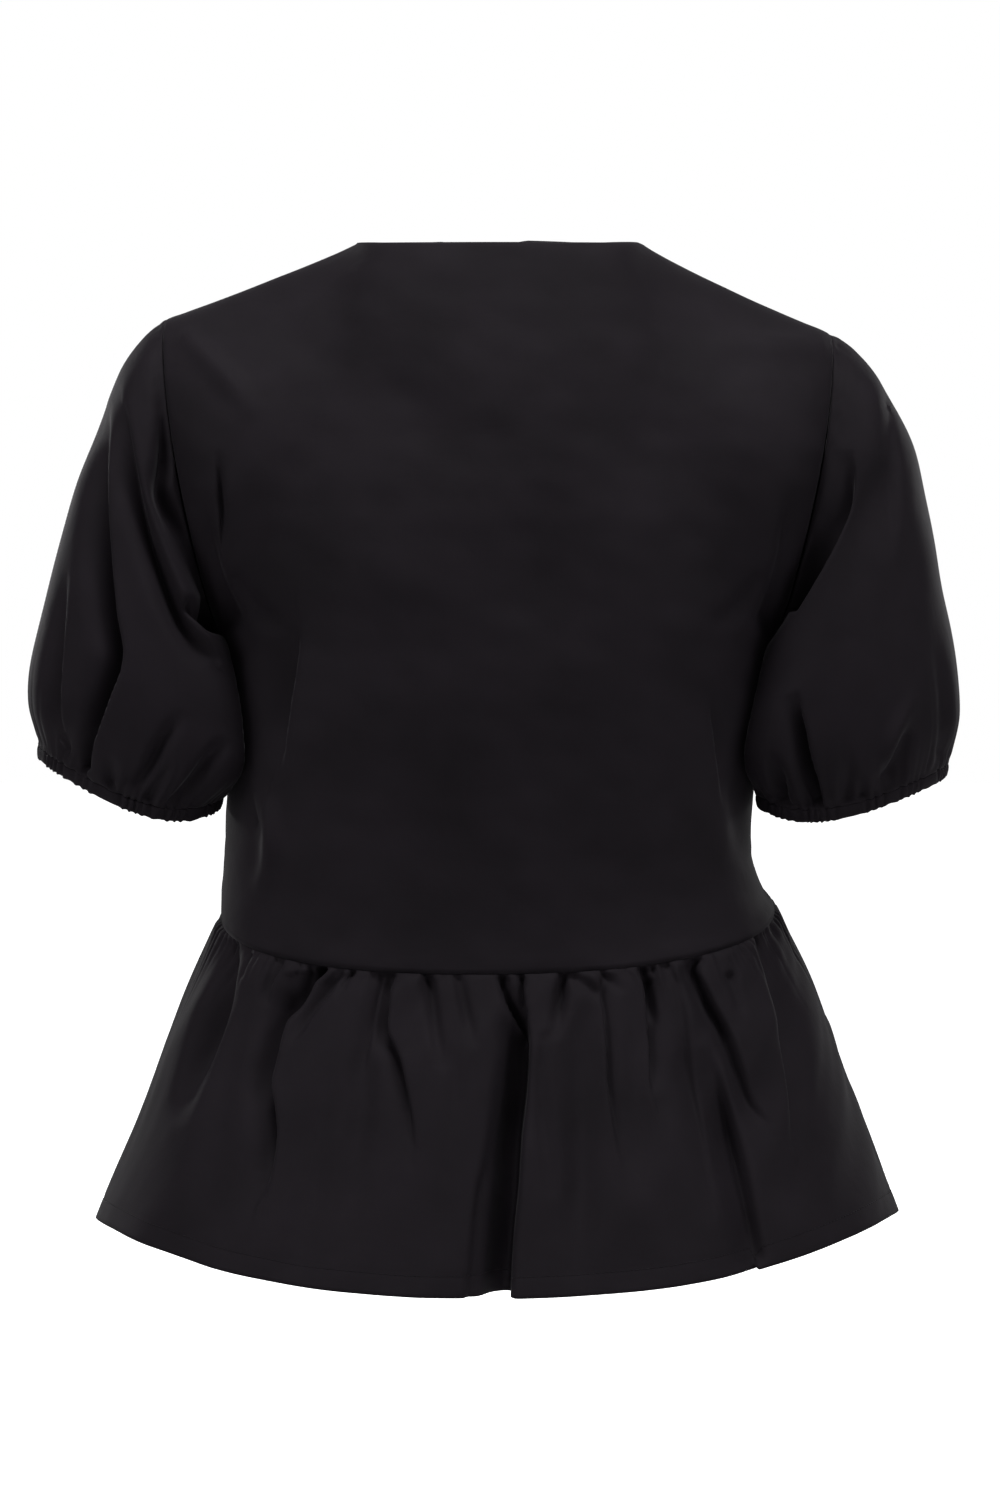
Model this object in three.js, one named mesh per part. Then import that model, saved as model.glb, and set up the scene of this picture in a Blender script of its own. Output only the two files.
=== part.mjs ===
// A short-sleeved peplum top in plain woven cloth, in the hollow shape it has when worn.
// Millimetres, +Z up. The back of the top faces -Y and the wearer's right sleeve is at +X.
// The origin lies midway between the shoulder seams, level with their upper ends at the neck.
import * as THREE from "three";

// Driving sizes of the cloth and of the whole top.
const CLOTH = 1.2;
const SEAM_GAP = 0.3;
const NECK_HALF_WIDTH = 84;
const SHOULDER_HALF_WIDTH = 199;
const UNDERARM_HALF_WIDTH = 166;
const UNDERARM_Z = -236;
const SHOULDER_TIP_Z = { left: -46, right: -55 };
const WAIST_SIDE_Z = -399;
const WAIST_LEAN = 2.5;
const ROUNDNESS = 2.3;
const WAIST_QUARTER = 215;
const CUFF_WALL = 2;

// Names the numbers of one row of the sleeve table.
function namedRow(row) {
  return Object.fromEntries(SLEEVE_COLUMN_NAMES.map((name, i) => [name, row[i]]));
}

// Share of a half panel's columns that start on the neckline; the others start on the shoulder seam.
const NECK_SHARE = 0.42;
const ARMHOLE_SLANT = 1.6;
const ROUND_EDGE = 0.9;

// The two faces of the top. Depths are measured from the side seams, towards the back or the front.
const BACK = {
  name: "back",
  towards: -1,
  neckDepth: 60,
  neckDrop: 8,
  neckCurve: { x: 1, y: 0.9, z: 1 },
  armholeDepth: 62,
  waistRise: -34,
  hemLift: 16,
};
const FRONT = {
  name: "front",
  towards: 1,
  neckDepth: 86,
  neckDrop: 96,
  neckCurve: { x: 0.7, y: 1, z: 2 },
  armholeDepth: 58,
  waistRise: 24,
  hemLift: 10,
};

// Torso sections from the underarm, at 0, down to the waist seam, at 1. Aside is how far a section's
// middle lies to the right.
const TORSO_SECTIONS = [
  { at: 0, halfWidth: UNDERARM_HALF_WIDTH, back: 111, front: 123, aside: 0 },
  { at: 0.2, halfWidth: 162, back: 110, front: 125, aside: -1 },
  { at: 0.5, halfWidth: 158, back: 103, front: 118, aside: -4 },
  { at: 0.8, halfWidth: 158, back: 99, front: 109, aside: -6 },
  { at: 0.93, halfWidth: 162, back: 101, front: 108, aside: -4 },
  { at: 1, halfWidth: 166, back: 104, front: 109, aside: 0 },
];

// Peplum sections from the waist seam, at 0, down to the hem, at 1.
// Flare is how far the cloth stands out from the waist, and fall how far it has dropped.
const PEPLUM_SECTIONS = [
  { at: 0, flare: 0, fall: 0 },
  { at: 0.06, flare: 5, fall: 9.5 },
  { at: 0.3, flare: 24, fall: 52 },
  { at: 0.65, flare: 48, fall: 117 },
  { at: 1, flare: 73, fall: 182 },
];

// Sleeve sections from the armhole, at 0, to the top of the cuff, at 1. The outer line runs down
// from the shoulder tip and the inner line from the underarm. Back and front are its half depths,
// sag lowers its back, and a lower square makes it less round.
const SLEEVE_COLUMN_NAMES = ["at", "outerX", "outerZ", "innerX", "innerZ", "back", "front", "sag", "square"];
const SLEEVE_SECTIONS = {
  right: [
    [0, 199, -55, 166, -236, 62, 58, 0, 0.9],
    [0.06, 212, -65, 168, -240, 67, 62, 0, 0.88],
    [0.14, 228, -83, 168, -244, 72, 66, 0, 0.85],
    [0.32, 248, -124, 162, -254, 78, 70, 3, 0.76],
    [0.52, 260, -178, 150, -267, 81, 72, 8, 0.7],
    [0.72, 270, -232, 136, -284, 80, 70, 13, 0.68],
    [0.88, 276, -280, 132, -304, 72, 62, 18, 0.72],
    [1, 269, -311, 147, -320, 57, 50, 20, 0.92],
  ].map(namedRow),
  left: [
    [0, 199, -46, 166, -236, 62, 58, 0, 0.9],
    [0.06, 210, -56, 168, -240, 67, 62, 0, 0.88],
    [0.14, 225, -78, 168, -244, 72, 66, 0, 0.85],
    [0.32, 244, -124, 162, -255, 78, 70, 3, 0.76],
    [0.52, 261, -178, 148, -268, 82, 72, 8, 0.7],
    [0.72, 275, -232, 136, -286, 82, 70, 13, 0.68],
    [0.88, 281, -274, 134, -306, 74, 62, 18, 0.72],
    [1, 275, -300, 158, -322, 57, 50, 21, 0.95],
  ].map(namedRow),
};
const INNER_SAG = 1.1;
const SLEEVE_CLEARANCE = 3.5;

// Folds of the sleeves and bodice, as seen from the face they lie on: three points that the fold
// runs through, out from the centre and up, and its depth at the start, middle and end.
const SLEEVE_FOLDS = {
  left: [
    { face: BACK, from: [231, -100], via: [228, -185], to: [216, -255], depth: [0, 8, 5], width: 9 },
    { face: BACK, from: [216, -250], via: [222, -280], to: [236, -318], depth: [5, 7, 3], width: 7 },
    { face: BACK, from: [215, -122], via: [197, -190], to: [160, -254], depth: [0, 8, 3], width: 8 },
    { face: BACK, from: [192, -126], via: [192, -155], to: [180, -186], depth: [1, 4, 1], width: 4 },
    { face: BACK, from: [182, -284], via: [197, -308], to: [212, -328], depth: [0, 4, 3], width: 5 },
    { face: BACK, from: [156, -298], via: [173, -315], to: [191, -338], depth: [0, 4, 3], width: 5 },
    { face: BACK, from: [255, -205], via: [257, -250], to: [253, -300], depth: [0, 3, 3], width: 6 },
    { face: FRONT, from: [228, -105], via: [224, -180], to: [206, -262], depth: [0, 7, 1], width: 10 },
    { face: FRONT, from: [204, -130], via: [192, -185], to: [170, -240], depth: [0, 6, 2], width: 8 },
    { face: FRONT, from: [214, -262], via: [226, -290], to: [235, -318], depth: [0, 5, 3], width: 7 },
    { face: FRONT, from: [176, -285], via: [190, -310], to: [200, -334], depth: [0, 4, 3], width: 5 },
    { face: FRONT, from: [250, -235], via: [256, -270], to: [256, -304], depth: [0, 3, 3], width: 6 },
  ],
  right: [
    { face: BACK, from: [206, -112], via: [203, -165], to: [168, -228], depth: [0, 7, 3], width: 7 },
    { face: BACK, from: [229, -118], via: [221, -180], to: [196, -240], depth: [0, 4, 0], width: 15 },
    { face: BACK, from: [172, -262], via: [184, -300], to: [193, -340], depth: [0, 7, 4], width: 7 },
    { face: BACK, from: [156, -296], via: [166, -322], to: [180, -340], depth: [0, 4, 3], width: 5 },
    { face: BACK, from: [248, -268], via: [238, -294], to: [222, -318], depth: [0, 5, 2], width: 10 },
    { face: BACK, from: [256, -240], via: [262, -270], to: [262, -304], depth: [0, 2, 2], width: 6 },
    { face: FRONT, from: [230, -110], via: [222, -180], to: [200, -250], depth: [0, 6, 1], width: 11 },
    { face: FRONT, from: [206, -126], via: [196, -180], to: [172, -238], depth: [0, 6, 2], width: 8 },
    { face: FRONT, from: [220, -260], via: [222, -295], to: [216, -330], depth: [0, 6, 3], width: 7 },
    { face: FRONT, from: [174, -280], via: [186, -308], to: [192, -336], depth: [0, 4, 3], width: 5 },
    { face: FRONT, from: [246, -240], via: [254, -275], to: [252, -316], depth: [0, 4, 3], width: 7 },
  ],
};
const BODICE_FOLDS = [
  { face: BACK, from: [-196, -56], via: [-178, -82], to: [-150, -112], depth: [0, -3, 0], width: 9 },
  { face: BACK, from: [192, -62], via: [172, -84], to: [146, -104], depth: [0, -2.4, 0], width: 11 },
  { face: BACK, from: [-139, -250], via: [-136, -300], to: [-146, -350], depth: [0, 4, 0], width: 10 },
  { face: BACK, from: [146, -262], via: [140, -310], to: [148, -368], depth: [0, 3.4, 0], width: 9 },
  { face: BACK, from: [-70, -240], via: [-30, -300], to: [-20, -390], depth: [0, 2, 0], width: 34 },
  { face: BACK, from: [60, -230], via: [66, -310], to: [40, -392], depth: [0, 2, 0], width: 30 },
  { face: FRONT, from: [-150, -228], via: [-118, -250], to: [-84, -262], depth: [1, 4, 0], width: 9 },
  { face: FRONT, from: [150, -228], via: [118, -248], to: [84, -262], depth: [1, 4, 0], width: 9 },
  { face: FRONT, from: [-128, -290], via: [-132, -336], to: [-128, -386], depth: [0, 3.4, 1], width: 11 },
  { face: FRONT, from: [126, -286], via: [134, -334], to: [126, -384], depth: [0, 3.4, 1], width: 11 },
  { face: FRONT, from: [0, -150], via: [0, -240], to: [-6, -330], depth: [0, 5, 0], width: 26 },
];

// Gathers of the peplum: where each starts on the waist seam and ends at the hem, across from the
// centre, its depth at the seam, a third of the way down and at the hem, and its half width.
const BACK_GATHERS = [
  { seam: -158, hem: -226, depth: [2, 3, 1], width: 4 },
  { seam: -151, hem: -208, depth: [2.4, 4, 1], width: 5 },
  { seam: -143, hem: -190, depth: [2.4, 8, 3], width: 7 },
  { seam: -132, hem: -172, depth: [2.4, 2, 0], width: 4 },
  { seam: -121, hem: -158, depth: [2.6, 2, 0], width: 4 },
  { seam: -101, hem: -134, depth: [2.8, 10, 4], width: 7 },
  { seam: -90, hem: -114, depth: [2.6, 2, 0], width: 4 },
  { seam: -80, hem: -92, depth: [2.6, 3, 0], width: 4 },
  { seam: -58, hem: -50, depth: [2.8, 6, 2], width: 6 },
  { seam: -46, hem: -36, depth: [2.4, 2, 0], width: 4 },
  { seam: -34, hem: -24, depth: [2.8, 4, 1], width: 4 },
  { seam: -20, hem: -13, depth: [2.2, 3, 0], width: 4 },
  { seam: 5, hem: 9, depth: [3, 17, 17], width: 8 },
  { seam: 19, hem: 24, depth: [2.6, 4, 0], width: 4 },
  { seam: 29, hem: 34, depth: [2.6, 2, 0], width: 3.5 },
  { seam: 42, hem: 48, depth: [2.8, 4, 1], width: 4 },
  { seam: 61, hem: 82, depth: [2.8, 5, 1], width: 6 },
  { seam: 76, hem: 99, depth: [2.4, 2, 0], width: 4 },
  { seam: 92, hem: 117, depth: [2.8, 5, 0], width: 5 },
  { seam: 106, hem: 142, depth: [2.6, 8, 5], width: 8 },
  { seam: 120, hem: 167, depth: [2.8, 7, 2], width: 5 },
  { seam: 134, hem: 184, depth: [2.4, 3, 1], width: 4 },
  { seam: 146, hem: 202, depth: [2.4, 6, 2], width: 6 },
  { seam: 155, hem: 221, depth: [2, 3, 1], width: 4 },
];
const FRONT_GATHERS = [
  { seam: -157, hem: -224, depth: [2, 4, 1], width: 4 },
  { seam: -147, hem: -205, depth: [2.4, 6, 3], width: 6 },
  { seam: -133, hem: -184, depth: [2.6, 3, 0], width: 4 },
  { seam: -120, hem: -162, depth: [2.6, 8, 4], width: 7 },
  { seam: -106, hem: -143, depth: [2.4, 2, 0], width: 4 },
  { seam: -92, hem: -121, depth: [2.8, 5, 1], width: 5 },
  { seam: -77, hem: -99, depth: [2.4, 3, 0], width: 4 },
  { seam: -62, hem: -75, depth: [2.8, 9, 6], width: 8 },
  { seam: -47, hem: -57, depth: [2.4, 3, 0], width: 4 },
  { seam: -32, hem: -38, depth: [2.8, 5, 1], width: 5 },
  { seam: -17, hem: -19, depth: [2.4, 3, 0], width: 4 },
  { seam: -3, hem: -2, depth: [2.8, 7, 3], width: 6 },
  { seam: 13, hem: 17, depth: [2.4, 3, 0], width: 4 },
  { seam: 27, hem: 37, depth: [2.8, 5, 1], width: 5 },
  { seam: 43, hem: 57, depth: [2.4, 2, 0], width: 4 },
  { seam: 58, hem: 74, depth: [2.8, 9, 5], width: 8 },
  { seam: 74, hem: 98, depth: [2.4, 3, 0], width: 4 },
  { seam: 88, hem: 119, depth: [2.8, 4, 1], width: 5 },
  { seam: 103, hem: 140, depth: [2.4, 3, 0], width: 4 },
  { seam: 118, hem: 161, depth: [2.8, 8, 4], width: 7 },
  { seam: 132, hem: 182, depth: [2.4, 3, 0], width: 4 },
  { seam: 146, hem: 204, depth: [2.4, 6, 2], width: 6 },
  { seam: 156, hem: 223, depth: [2, 3, 1], width: 4 },
];

// Grid sizes, chosen to keep every wall light.
const NECK_COLUMNS = 6;
const SHOULDER_COLUMNS = 8;
const UPPER_ROWS = 9;
const LOWER_ROWS = 7;
const SLEEVE_COLUMNS = 40;
const SLEEVE_ROWS = 13;
const PEPLUM_ROW_SHARES = [0, 0.06, 0.17, 0.36, 0.66, 1];
const PEPLUM_WIDEST_COLUMN = 9;

const clamp01 = (value) => Math.min(1, Math.max(0, value));
const mix = (a, b, share) => a + (b - a) * share;
const smooth = (share) => clamp01(share) ** 2 * (3 - 2 * clamp01(share));
const signedPower = (value, power) => Math.sign(value) * Math.abs(value) ** power;

// Reads one column of a section table at a share of its length, on a smooth curve through the rows.
function along(rows, key, share) {
  let i = 0;
  while (i < rows.length - 2 && rows[i + 1].at < share) i += 1;
  const [before, a, b, after] = [rows[Math.max(0, i - 1)], rows[i], rows[i + 1], rows[Math.min(rows.length - 1, i + 2)]];
  const span = b.at - a.at;
  const slope = (low, high) => (high.at > low.at ? (high[key] - low[key]) / (high.at - low.at) : 0);
  const slopeA = before === a ? slope(a, b) : slope(before, b);
  const slopeB = after === b ? slope(a, b) : slope(a, after);
  const t = clamp01((share - a.at) / span);
  return (
    (2 * t ** 3 - 3 * t ** 2 + 1) * a[key] +
    (t ** 3 - 2 * t ** 2 + t) * span * slopeA +
    (3 * t ** 2 - 2 * t ** 3) * b[key] +
    (t ** 3 - t ** 2) * span * slopeB
  );
}

// A point of a rounded oval: across is -1 at the left side seam, 0 at the centre, 1 at the right.
function ovalPoint(face, across, oval, z) {
  const angle = (across * Math.PI) / 2;
  const x = oval.aside + oval.halfWidth * signedPower(Math.sin(angle), 2 / ROUNDNESS);
  const y = face.towards * oval[face.name] * signedPower(Math.cos(angle), 2 / ROUNDNESS);
  return new THREE.Vector3(x, y, z);
}

function torsoOval(share, wider = 0) {
  const read = (key) => along(TORSO_SECTIONS, key, share);
  return { aside: read("aside"), halfWidth: read("halfWidth") + wider, back: read("back") + wider, front: read("front") + wider };
}

// The share of a half oval, from the centre, at which a point this far across lies.
function shareAcross(x, halfWidth) {
  const ratio = Math.min(1, Math.abs(x) / halfWidth);
  return (Math.sign(x) * Math.asin(ratio ** (ROUNDNESS / 2)) * 2) / Math.PI;
}

// How near a point across is to the centre of its face: 1 there and 0 at the side seams.
function nearness(across) {
  return Math.max(0, Math.cos((across * Math.PI) / 2)) ** (2 / ROUNDNESS);
}

// The waist seam lies in a tilted plane, low at the back and a little higher on the right.
function waistZ(face, across) {
  return WAIST_SIDE_Z + face.waistRise * nearness(across) + WAIST_LEAN * Math.sin((across * Math.PI) / 2);
}

// How far a point lies from a fold's line, and how deep the fold is there.
function foldDepth(fold, x, z) {
  const STEPS = 18;
  let nearest = Infinity;
  let depth = 0;
  for (let i = 0; i <= STEPS; i += 1) {
    const t = i / STEPS;
    const bend = [0, 1].map(
      (k) => 2 * (t - 0.5) * (t - 1) * fold.from[k] + 4 * t * (1 - t) * fold.via[k] + 2 * t * (t - 0.5) * fold.to[k],
    );
    const distance = Math.hypot(x - bend[0], z - bend[1]);
    if (distance < nearest) {
      nearest = distance;
      const [start, middle, end] = fold.depth;
      depth = t < 0.5 ? mix(start, middle, smooth(2 * t)) : mix(middle, end, smooth(2 * t - 1));
    }
  }
  return depth * Math.exp(-((nearest / fold.width) ** 2));
}

function foldsAt(folds, face, x, z) {
  return folds.filter((fold) => fold.face === face).reduce((sum, fold) => sum + foldDepth(fold, x, z), 0);
}

// The upper edge of a bodice panel: neckline in the middle, shoulder seams beside it.
function upperEdge(face, across) {
  const out = Math.abs(across);
  const side = across < 0 ? "left" : "right";
  if (out <= NECK_SHARE) {
    const angle = ((out / NECK_SHARE) * Math.PI) / 2;
    const middle = Math.max(0, Math.cos(angle));
    return new THREE.Vector3(
      Math.sign(across) * NECK_HALF_WIDTH * Math.sin(angle) ** face.neckCurve.x,
      face.towards * face.neckDepth * middle ** face.neckCurve.y,
      -face.neckDrop * middle ** face.neckCurve.z,
    );
  }
  const share = (out - NECK_SHARE) / (1 - NECK_SHARE);
  return new THREE.Vector3(
    Math.sign(across) * mix(NECK_HALF_WIDTH, SHOULDER_HALF_WIDTH, share),
    0,
    SHOULDER_TIP_Z[side] * share ** 0.92,
  );
}

// A point of the bodice. Down is 0 at the neck and shoulders, 1 at the underarm, 2 at the waist.
function bodicePoint(face, across, down) {
  if (down >= 1) {
    const share = down - 1;
    return ovalPoint(face, across, torsoOval(share), mix(UNDERARM_Z, waistZ(face, across), share));
  }
  const top = upperEdge(face, across);
  const low = ovalPoint(face, across, torsoOval(0), UNDERARM_Z);
  const dropped = (1 - Math.cos(Math.PI * down)) / 2;
  const out = Math.abs(across);
  const besideNeck = Math.sqrt(1 - (1 - dropped) ** 2);
  const reach = mix(1 - (1 - dropped) ** 2.2, besideNeck, smooth(out / NECK_SHARE));
  const edge = mix(3, ROUND_EDGE, smooth((out - 0.5) / 0.5));
  const armhole = face.towards * face.armholeDepth * Math.sin(Math.PI * clamp01(down)) ** edge;
  return new THREE.Vector3(
    mix(top.x, low.x, dropped ** mix(0.8, ARMHOLE_SLANT, smooth((out - NECK_SHARE) / (1 - NECK_SHARE)))),
    mix(top.y, low.y, reach) + armhole * smooth((out - 0.3) / 0.7),
    mix(top.z, low.z, dropped),
  );
}

// Pushes a point of a sleeve out of the space that the bodice takes up.
function clearOfBodice(point) {
  const share = clamp01((UNDERARM_Z - point.z) / (UNDERARM_Z - WAIST_SIDE_Z));
  const oval = torsoOval(share, SLEEVE_CLEARANCE * smooth((UNDERARM_Z - point.z) / 12));
  const depth = point.y < 0 ? oval.back : oval.front;
  const x = point.x - oval.aside;
  const reach = (Math.abs(x) / oval.halfWidth) ** ROUNDNESS + (Math.abs(point.y) / depth) ** ROUNDNESS;
  if (point.z > UNDERARM_Z || reach >= 1) return point;
  const outwards = reach ** (-1 / ROUNDNESS);
  return new THREE.Vector3(oval.aside + x * outwards, point.y * outwards, point.z);
}

// A point of a sleeve. Around is 0 on the outer line, a quarter at the back, a half on the inner line.
function sleevePoint(side, around, down) {
  const outwards = side === "left" ? -1 : 1;
  const rows = SLEEVE_SECTIONS[side];
  const section = (key) => along(rows, key, down);
  const angle = around * 2 * Math.PI;
  const inwards = (1 - Math.cos(angle)) / 2;
  const slant = mix(ARMHOLE_SLANT, 1, smooth(down / 0.3));
  const turn = Math.sin(angle);
  const depth = turn > 0 ? section("back") : section("front");
  const drop = section("sag") * signedPower(turn, 1.3) * (1 + INNER_SAG * (inwards - 0.5));
  const point = new THREE.Vector3(
    outwards * (mix(section("outerX"), section("innerX"), inwards ** slant) + SEAM_GAP * (1 + inwards) * (1 - smooth(down / 0.3))),
    -depth * signedPower(turn, section("square")),
    mix(section("outerZ"), section("innerZ"), inwards) - drop,
  );
  return clearOfBodice(point);
}

// A point of the peplum at a share of the way across the seam and down to the hem, and the folds there.
function peplumPoint(face, gathers, across, down) {
  const waist = TORSO_SECTIONS.at(-1);
  const flare = along(PEPLUM_SECTIONS, "flare", down);
  const hemHalfWidth = waist.halfWidth + PEPLUM_SECTIONS.at(-1).flare;
  const ends = [{ seam: -waist.halfWidth, hem: -hemHalfWidth }, ...gathers, { seam: waist.halfWidth, hem: hemHalfWidth }];
  const line = ends.map((row) => ({ at: shareAcross(row.seam, waist.halfWidth), hem: shareAcross(row.hem, hemHalfWidth) }));
  let i = 0;
  while (i < line.length - 2 && line[i + 1].at < across) i += 1;
  const between = clamp01((across - line[i].at) / (line[i + 1].at - line[i].at));
  const spot = mix(across, mix(line[i].hem, line[i + 1].hem, between), smooth(down));
  const lift = face.hemLift * Math.sin(0.9 * Math.PI * nearness(spot)) * down;
  const z = waistZ(face, across) - SEAM_GAP - along(PEPLUM_SECTIONS, "fall", down) + lift;
  const point = ovalPoint(face, spot, torsoOval(1, flare), z);
  const quarter = WAIST_QUARTER + flare * 1.5;
  const depth = gathers.reduce((sum, gather, k) => {
    const [top, middle, low] = gather.depth;
    const deep = down < 0.3 ? mix(top, middle, smooth(down / 0.3)) : mix(middle, low, smooth((down - 0.3) / 0.7));
    const spread = mix(3.2, gather.width, smooth(down / 0.3)) * mix(1, 1.35, down);
    const away = ((across - line[k + 1].at) * quarter) / spread;
    return sum + deep * Math.exp(-(away ** 2));
  }, 0);
  return { point, depth };
}

// Normals of a grid of points, from the neighbours of each; a tube's columns wrap round.
function gridNormals(points, wraps) {
  const rows = points.length;
  const columns = points[0].length;
  const near = (i, step) => (wraps ? (i + step + columns) % columns : Math.min(columns - 1, Math.max(0, i + step)));
  return points.map((row, j) =>
    row.map((_, i) => {
      const across = new THREE.Vector3().subVectors(row[near(i, 1)], row[near(i, -1)]);
      const down = new THREE.Vector3().subVectors(points[Math.min(rows - 1, j + 1)][i], points[Math.max(0, j - 1)][i]);
      return new THREE.Vector3().crossVectors(down, across).normalize();
    }),
  );
}

// Moves every point of a grid along its normal by a depth of its own.
function displaced(points, normals, depths) {
  return points.map((row, j) => row.map((p, i) => p.clone().addScaledVector(normals[j][i], -depths[j][i])));
}

// Turns two facing grids into the outer and inner skin of one closed wall.
function wall(name, outer, inner, wraps, material) {
  const rows = outer.length;
  const columns = outer[0].length;
  const positions = [...outer, ...inner].flat().flatMap((p) => [p.x, p.y, p.z]);
  const at = (skin, j, i) => skin * rows * columns + j * columns + (i % columns);
  const faces = [];
  const quad = (a, b, c, d) => faces.push(a, b, c, a, c, d);
  const lastColumn = wraps ? columns : columns - 1;
  for (let i = 0; i < lastColumn; i += 1) {
    for (let j = 0; j < rows - 1; j += 1) {
      quad(at(0, j, i), at(0, j + 1, i), at(0, j + 1, i + 1), at(0, j, i + 1));
      quad(at(1, j, i), at(1, j, i + 1), at(1, j + 1, i + 1), at(1, j + 1, i));
    }
    quad(at(1, 0, i), at(0, 0, i), at(0, 0, i + 1), at(1, 0, i + 1));
    quad(at(0, rows - 1, i), at(1, rows - 1, i), at(1, rows - 1, i + 1), at(0, rows - 1, i + 1));
  }
  for (let j = 0; j < rows - 1 && !wraps; j += 1) {
    quad(at(0, j, 0), at(1, j, 0), at(1, j + 1, 0), at(0, j + 1, 0));
    quad(at(1, j, columns - 1), at(0, j, columns - 1), at(0, j + 1, columns - 1), at(1, j + 1, columns - 1));
  }
  const geometry = new THREE.BufferGeometry();
  geometry.setAttribute("position", new THREE.Float32BufferAttribute(positions, 3));
  geometry.setIndex(faces);
  geometry.computeVertexNormals();
  const mesh = new THREE.Mesh(geometry, material);
  mesh.name = name;
  return mesh;
}

const evenly = (count, low, high) => Array.from({ length: count + 1 }, (_, i) => mix(low, high, i / count));

// A panel faces the back when its columns run from left to right, so the front's run the other way.
const columnsOf = (face, shares) => (face === BACK ? shares : shares.slice().reverse());

function flattened(normal, axis) {
  const flat = normal.clone();
  flat[axis] = 0;
  return flat.normalize();
}

// The direction square to the shoulder seam, the same for both panels that meet there.
function shoulderNormal(across) {
  const near = mix(across, 0.9 * Math.sign(across), 0.1);
  const seam = new THREE.Vector3().subVectors(upperEdge(BACK, near), upperEdge(BACK, across));
  return new THREE.Vector3(-seam.z, 0, seam.x).multiplyScalar(Math.sign(seam.x)).normalize();
}

function makeBodice(face) {
  const half = [...evenly(NECK_COLUMNS, 0, NECK_SHARE).slice(1), ...evenly(SHOULDER_COLUMNS, NECK_SHARE, 1).slice(1)];
  const columns = columnsOf(face, [...half.map((s) => -s).reverse(), 0, ...half]);
  const downs = [...evenly(UPPER_ROWS, 0, 1), ...evenly(LOWER_ROWS, 1, 2).slice(1)];
  const seamShift = new THREE.Vector3(0, (face.towards * SEAM_GAP) / 2, 0);
  const smoothPoints = downs.map((down) => columns.map((across) => bodicePoint(face, across, down).add(seamShift)));
  const normals = gridNormals(smoothPoints, false);
  const depths = smoothPoints.map((row, j) =>
    row.map((p, i) => {
      const inside = smooth((1 - Math.abs(columns[i])) / 0.06) * smooth(downs[j] / 0.1) * smooth((2 - downs[j]) / 0.12);
      return inside * foldsAt(BODICE_FOLDS, face, p.x, p.z);
    }),
  );
  const outer = displaced(smoothPoints, normals, depths);
  const inwards = gridNormals(outer, false);
  const inner = outer.map((row, j) =>
    row.map((p, i) => {
      let normal = inwards[j][i];
      if (j === 0 && Math.abs(columns[i]) >= NECK_SHARE) normal = shoulderNormal(columns[i]);
      if (Math.abs(columns[i]) === 1 && downs[j] >= 1) normal = flattened(normal, "y");
      if (j === downs.length - 1) normal = flattened(normal, "z");
      return p.clone().addScaledVector(normal, -CLOTH);
    }),
  );
  return { columns, outer, inner };
}

// The direction from a ring's middle to each of its points.
function fromMiddle(ring) {
  const middle = ring.reduce((sum, p) => sum.add(p), new THREE.Vector3()).divideScalar(ring.length);
  return ring.map((p) => new THREE.Vector3().subVectors(p, middle).normalize());
}

// Steps round a sleeve, in the order that makes its grid face outwards.
function stepsAround(side, count) {
  const steps = evenly(count, 0, 1).slice(0, -1);
  return side === "left" ? steps : steps.reverse();
}

function makeSleeve(side, material) {
  const arounds = stepsAround(side, SLEEVE_COLUMNS);
  const downs = evenly(SLEEVE_ROWS, 0, 1).map((down) => mix(down, smooth(down), 0.45));
  const smoothPoints = downs.map((down) => arounds.map((around) => sleevePoint(side, around, down)));
  const normals = gridNormals(smoothPoints, true);
  const depths = smoothPoints.map((row, j) =>
    row.map((p, i) => {
      const turn = Math.sin(arounds[i] * 2 * Math.PI);
      const inside = smooth(downs[j] / 0.12) * smooth((1 - downs[j]) / 0.05) * smooth(Math.abs(turn) / 0.25);
      return inside * foldsAt(SLEEVE_FOLDS[side], turn > 0 ? BACK : FRONT, Math.abs(p.x), p.z);
    }),
  );
  const outer = displaced(smoothPoints, normals, depths).map((row) => row.map(clearOfBodice));
  const inwards = gridNormals(outer, true);
  const cuffDirections = fromMiddle(outer.at(-1));
  const inner = outer.map((row, j) =>
    row.map((p, i) => {
      let normal = inwards[j][i];
      if (j === 0) normal = flattened(normal, "x");
      if (j === downs.length - 1) normal = cuffDirections[i];
      return p.clone().addScaledVector(normal, -CLOTH);
    }),
  );
  return wall(`sleeve_${side}`, outer, inner, true, material);
}

// The elastic cuff: a narrow tube of gathered cloth below the sleeve's last section. Each of the
// sleeve's columns is pinched in, and the cloth between two of them ruffles out.
function makeCuff(side, material) {
  const CUFF_ROWS = [
    { at: 0, below: SEAM_GAP, ruffle: 0.5 },
    { at: 0.5, below: 4.2, ruffle: 1 },
    { at: 1, below: 8.2, ruffle: 1.5 },
  ];
  const stops = stepsAround(side, SLEEVE_COLUMNS).map((around) => sleevePoint(side, around, 1));
  const ring = stops.flatMap((p, i) => [p, p.clone().lerp(stops[(i + 1) % stops.length], 0.5)]);
  const directions = fromMiddle(ring);
  const axis = new THREE.Vector3().crossVectors(directions[0], directions[SLEEVE_COLUMNS / 2]).normalize();
  if (axis.z > 0) axis.negate();
  const outer = CUFF_ROWS.map((row) =>
    ring.map((p, i) => {
      const wave = i % 2 === 0 ? -1 : 1;
      return p.clone().addScaledVector(axis, row.below).addScaledVector(directions[i], row.ruffle * wave);
    }),
  );
  const inner = outer.map((row) => row.map((p, i) => p.clone().addScaledVector(directions[i], -CUFF_WALL)));
  return wall(`cuff_${side}`, outer, inner, true, material);
}

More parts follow.
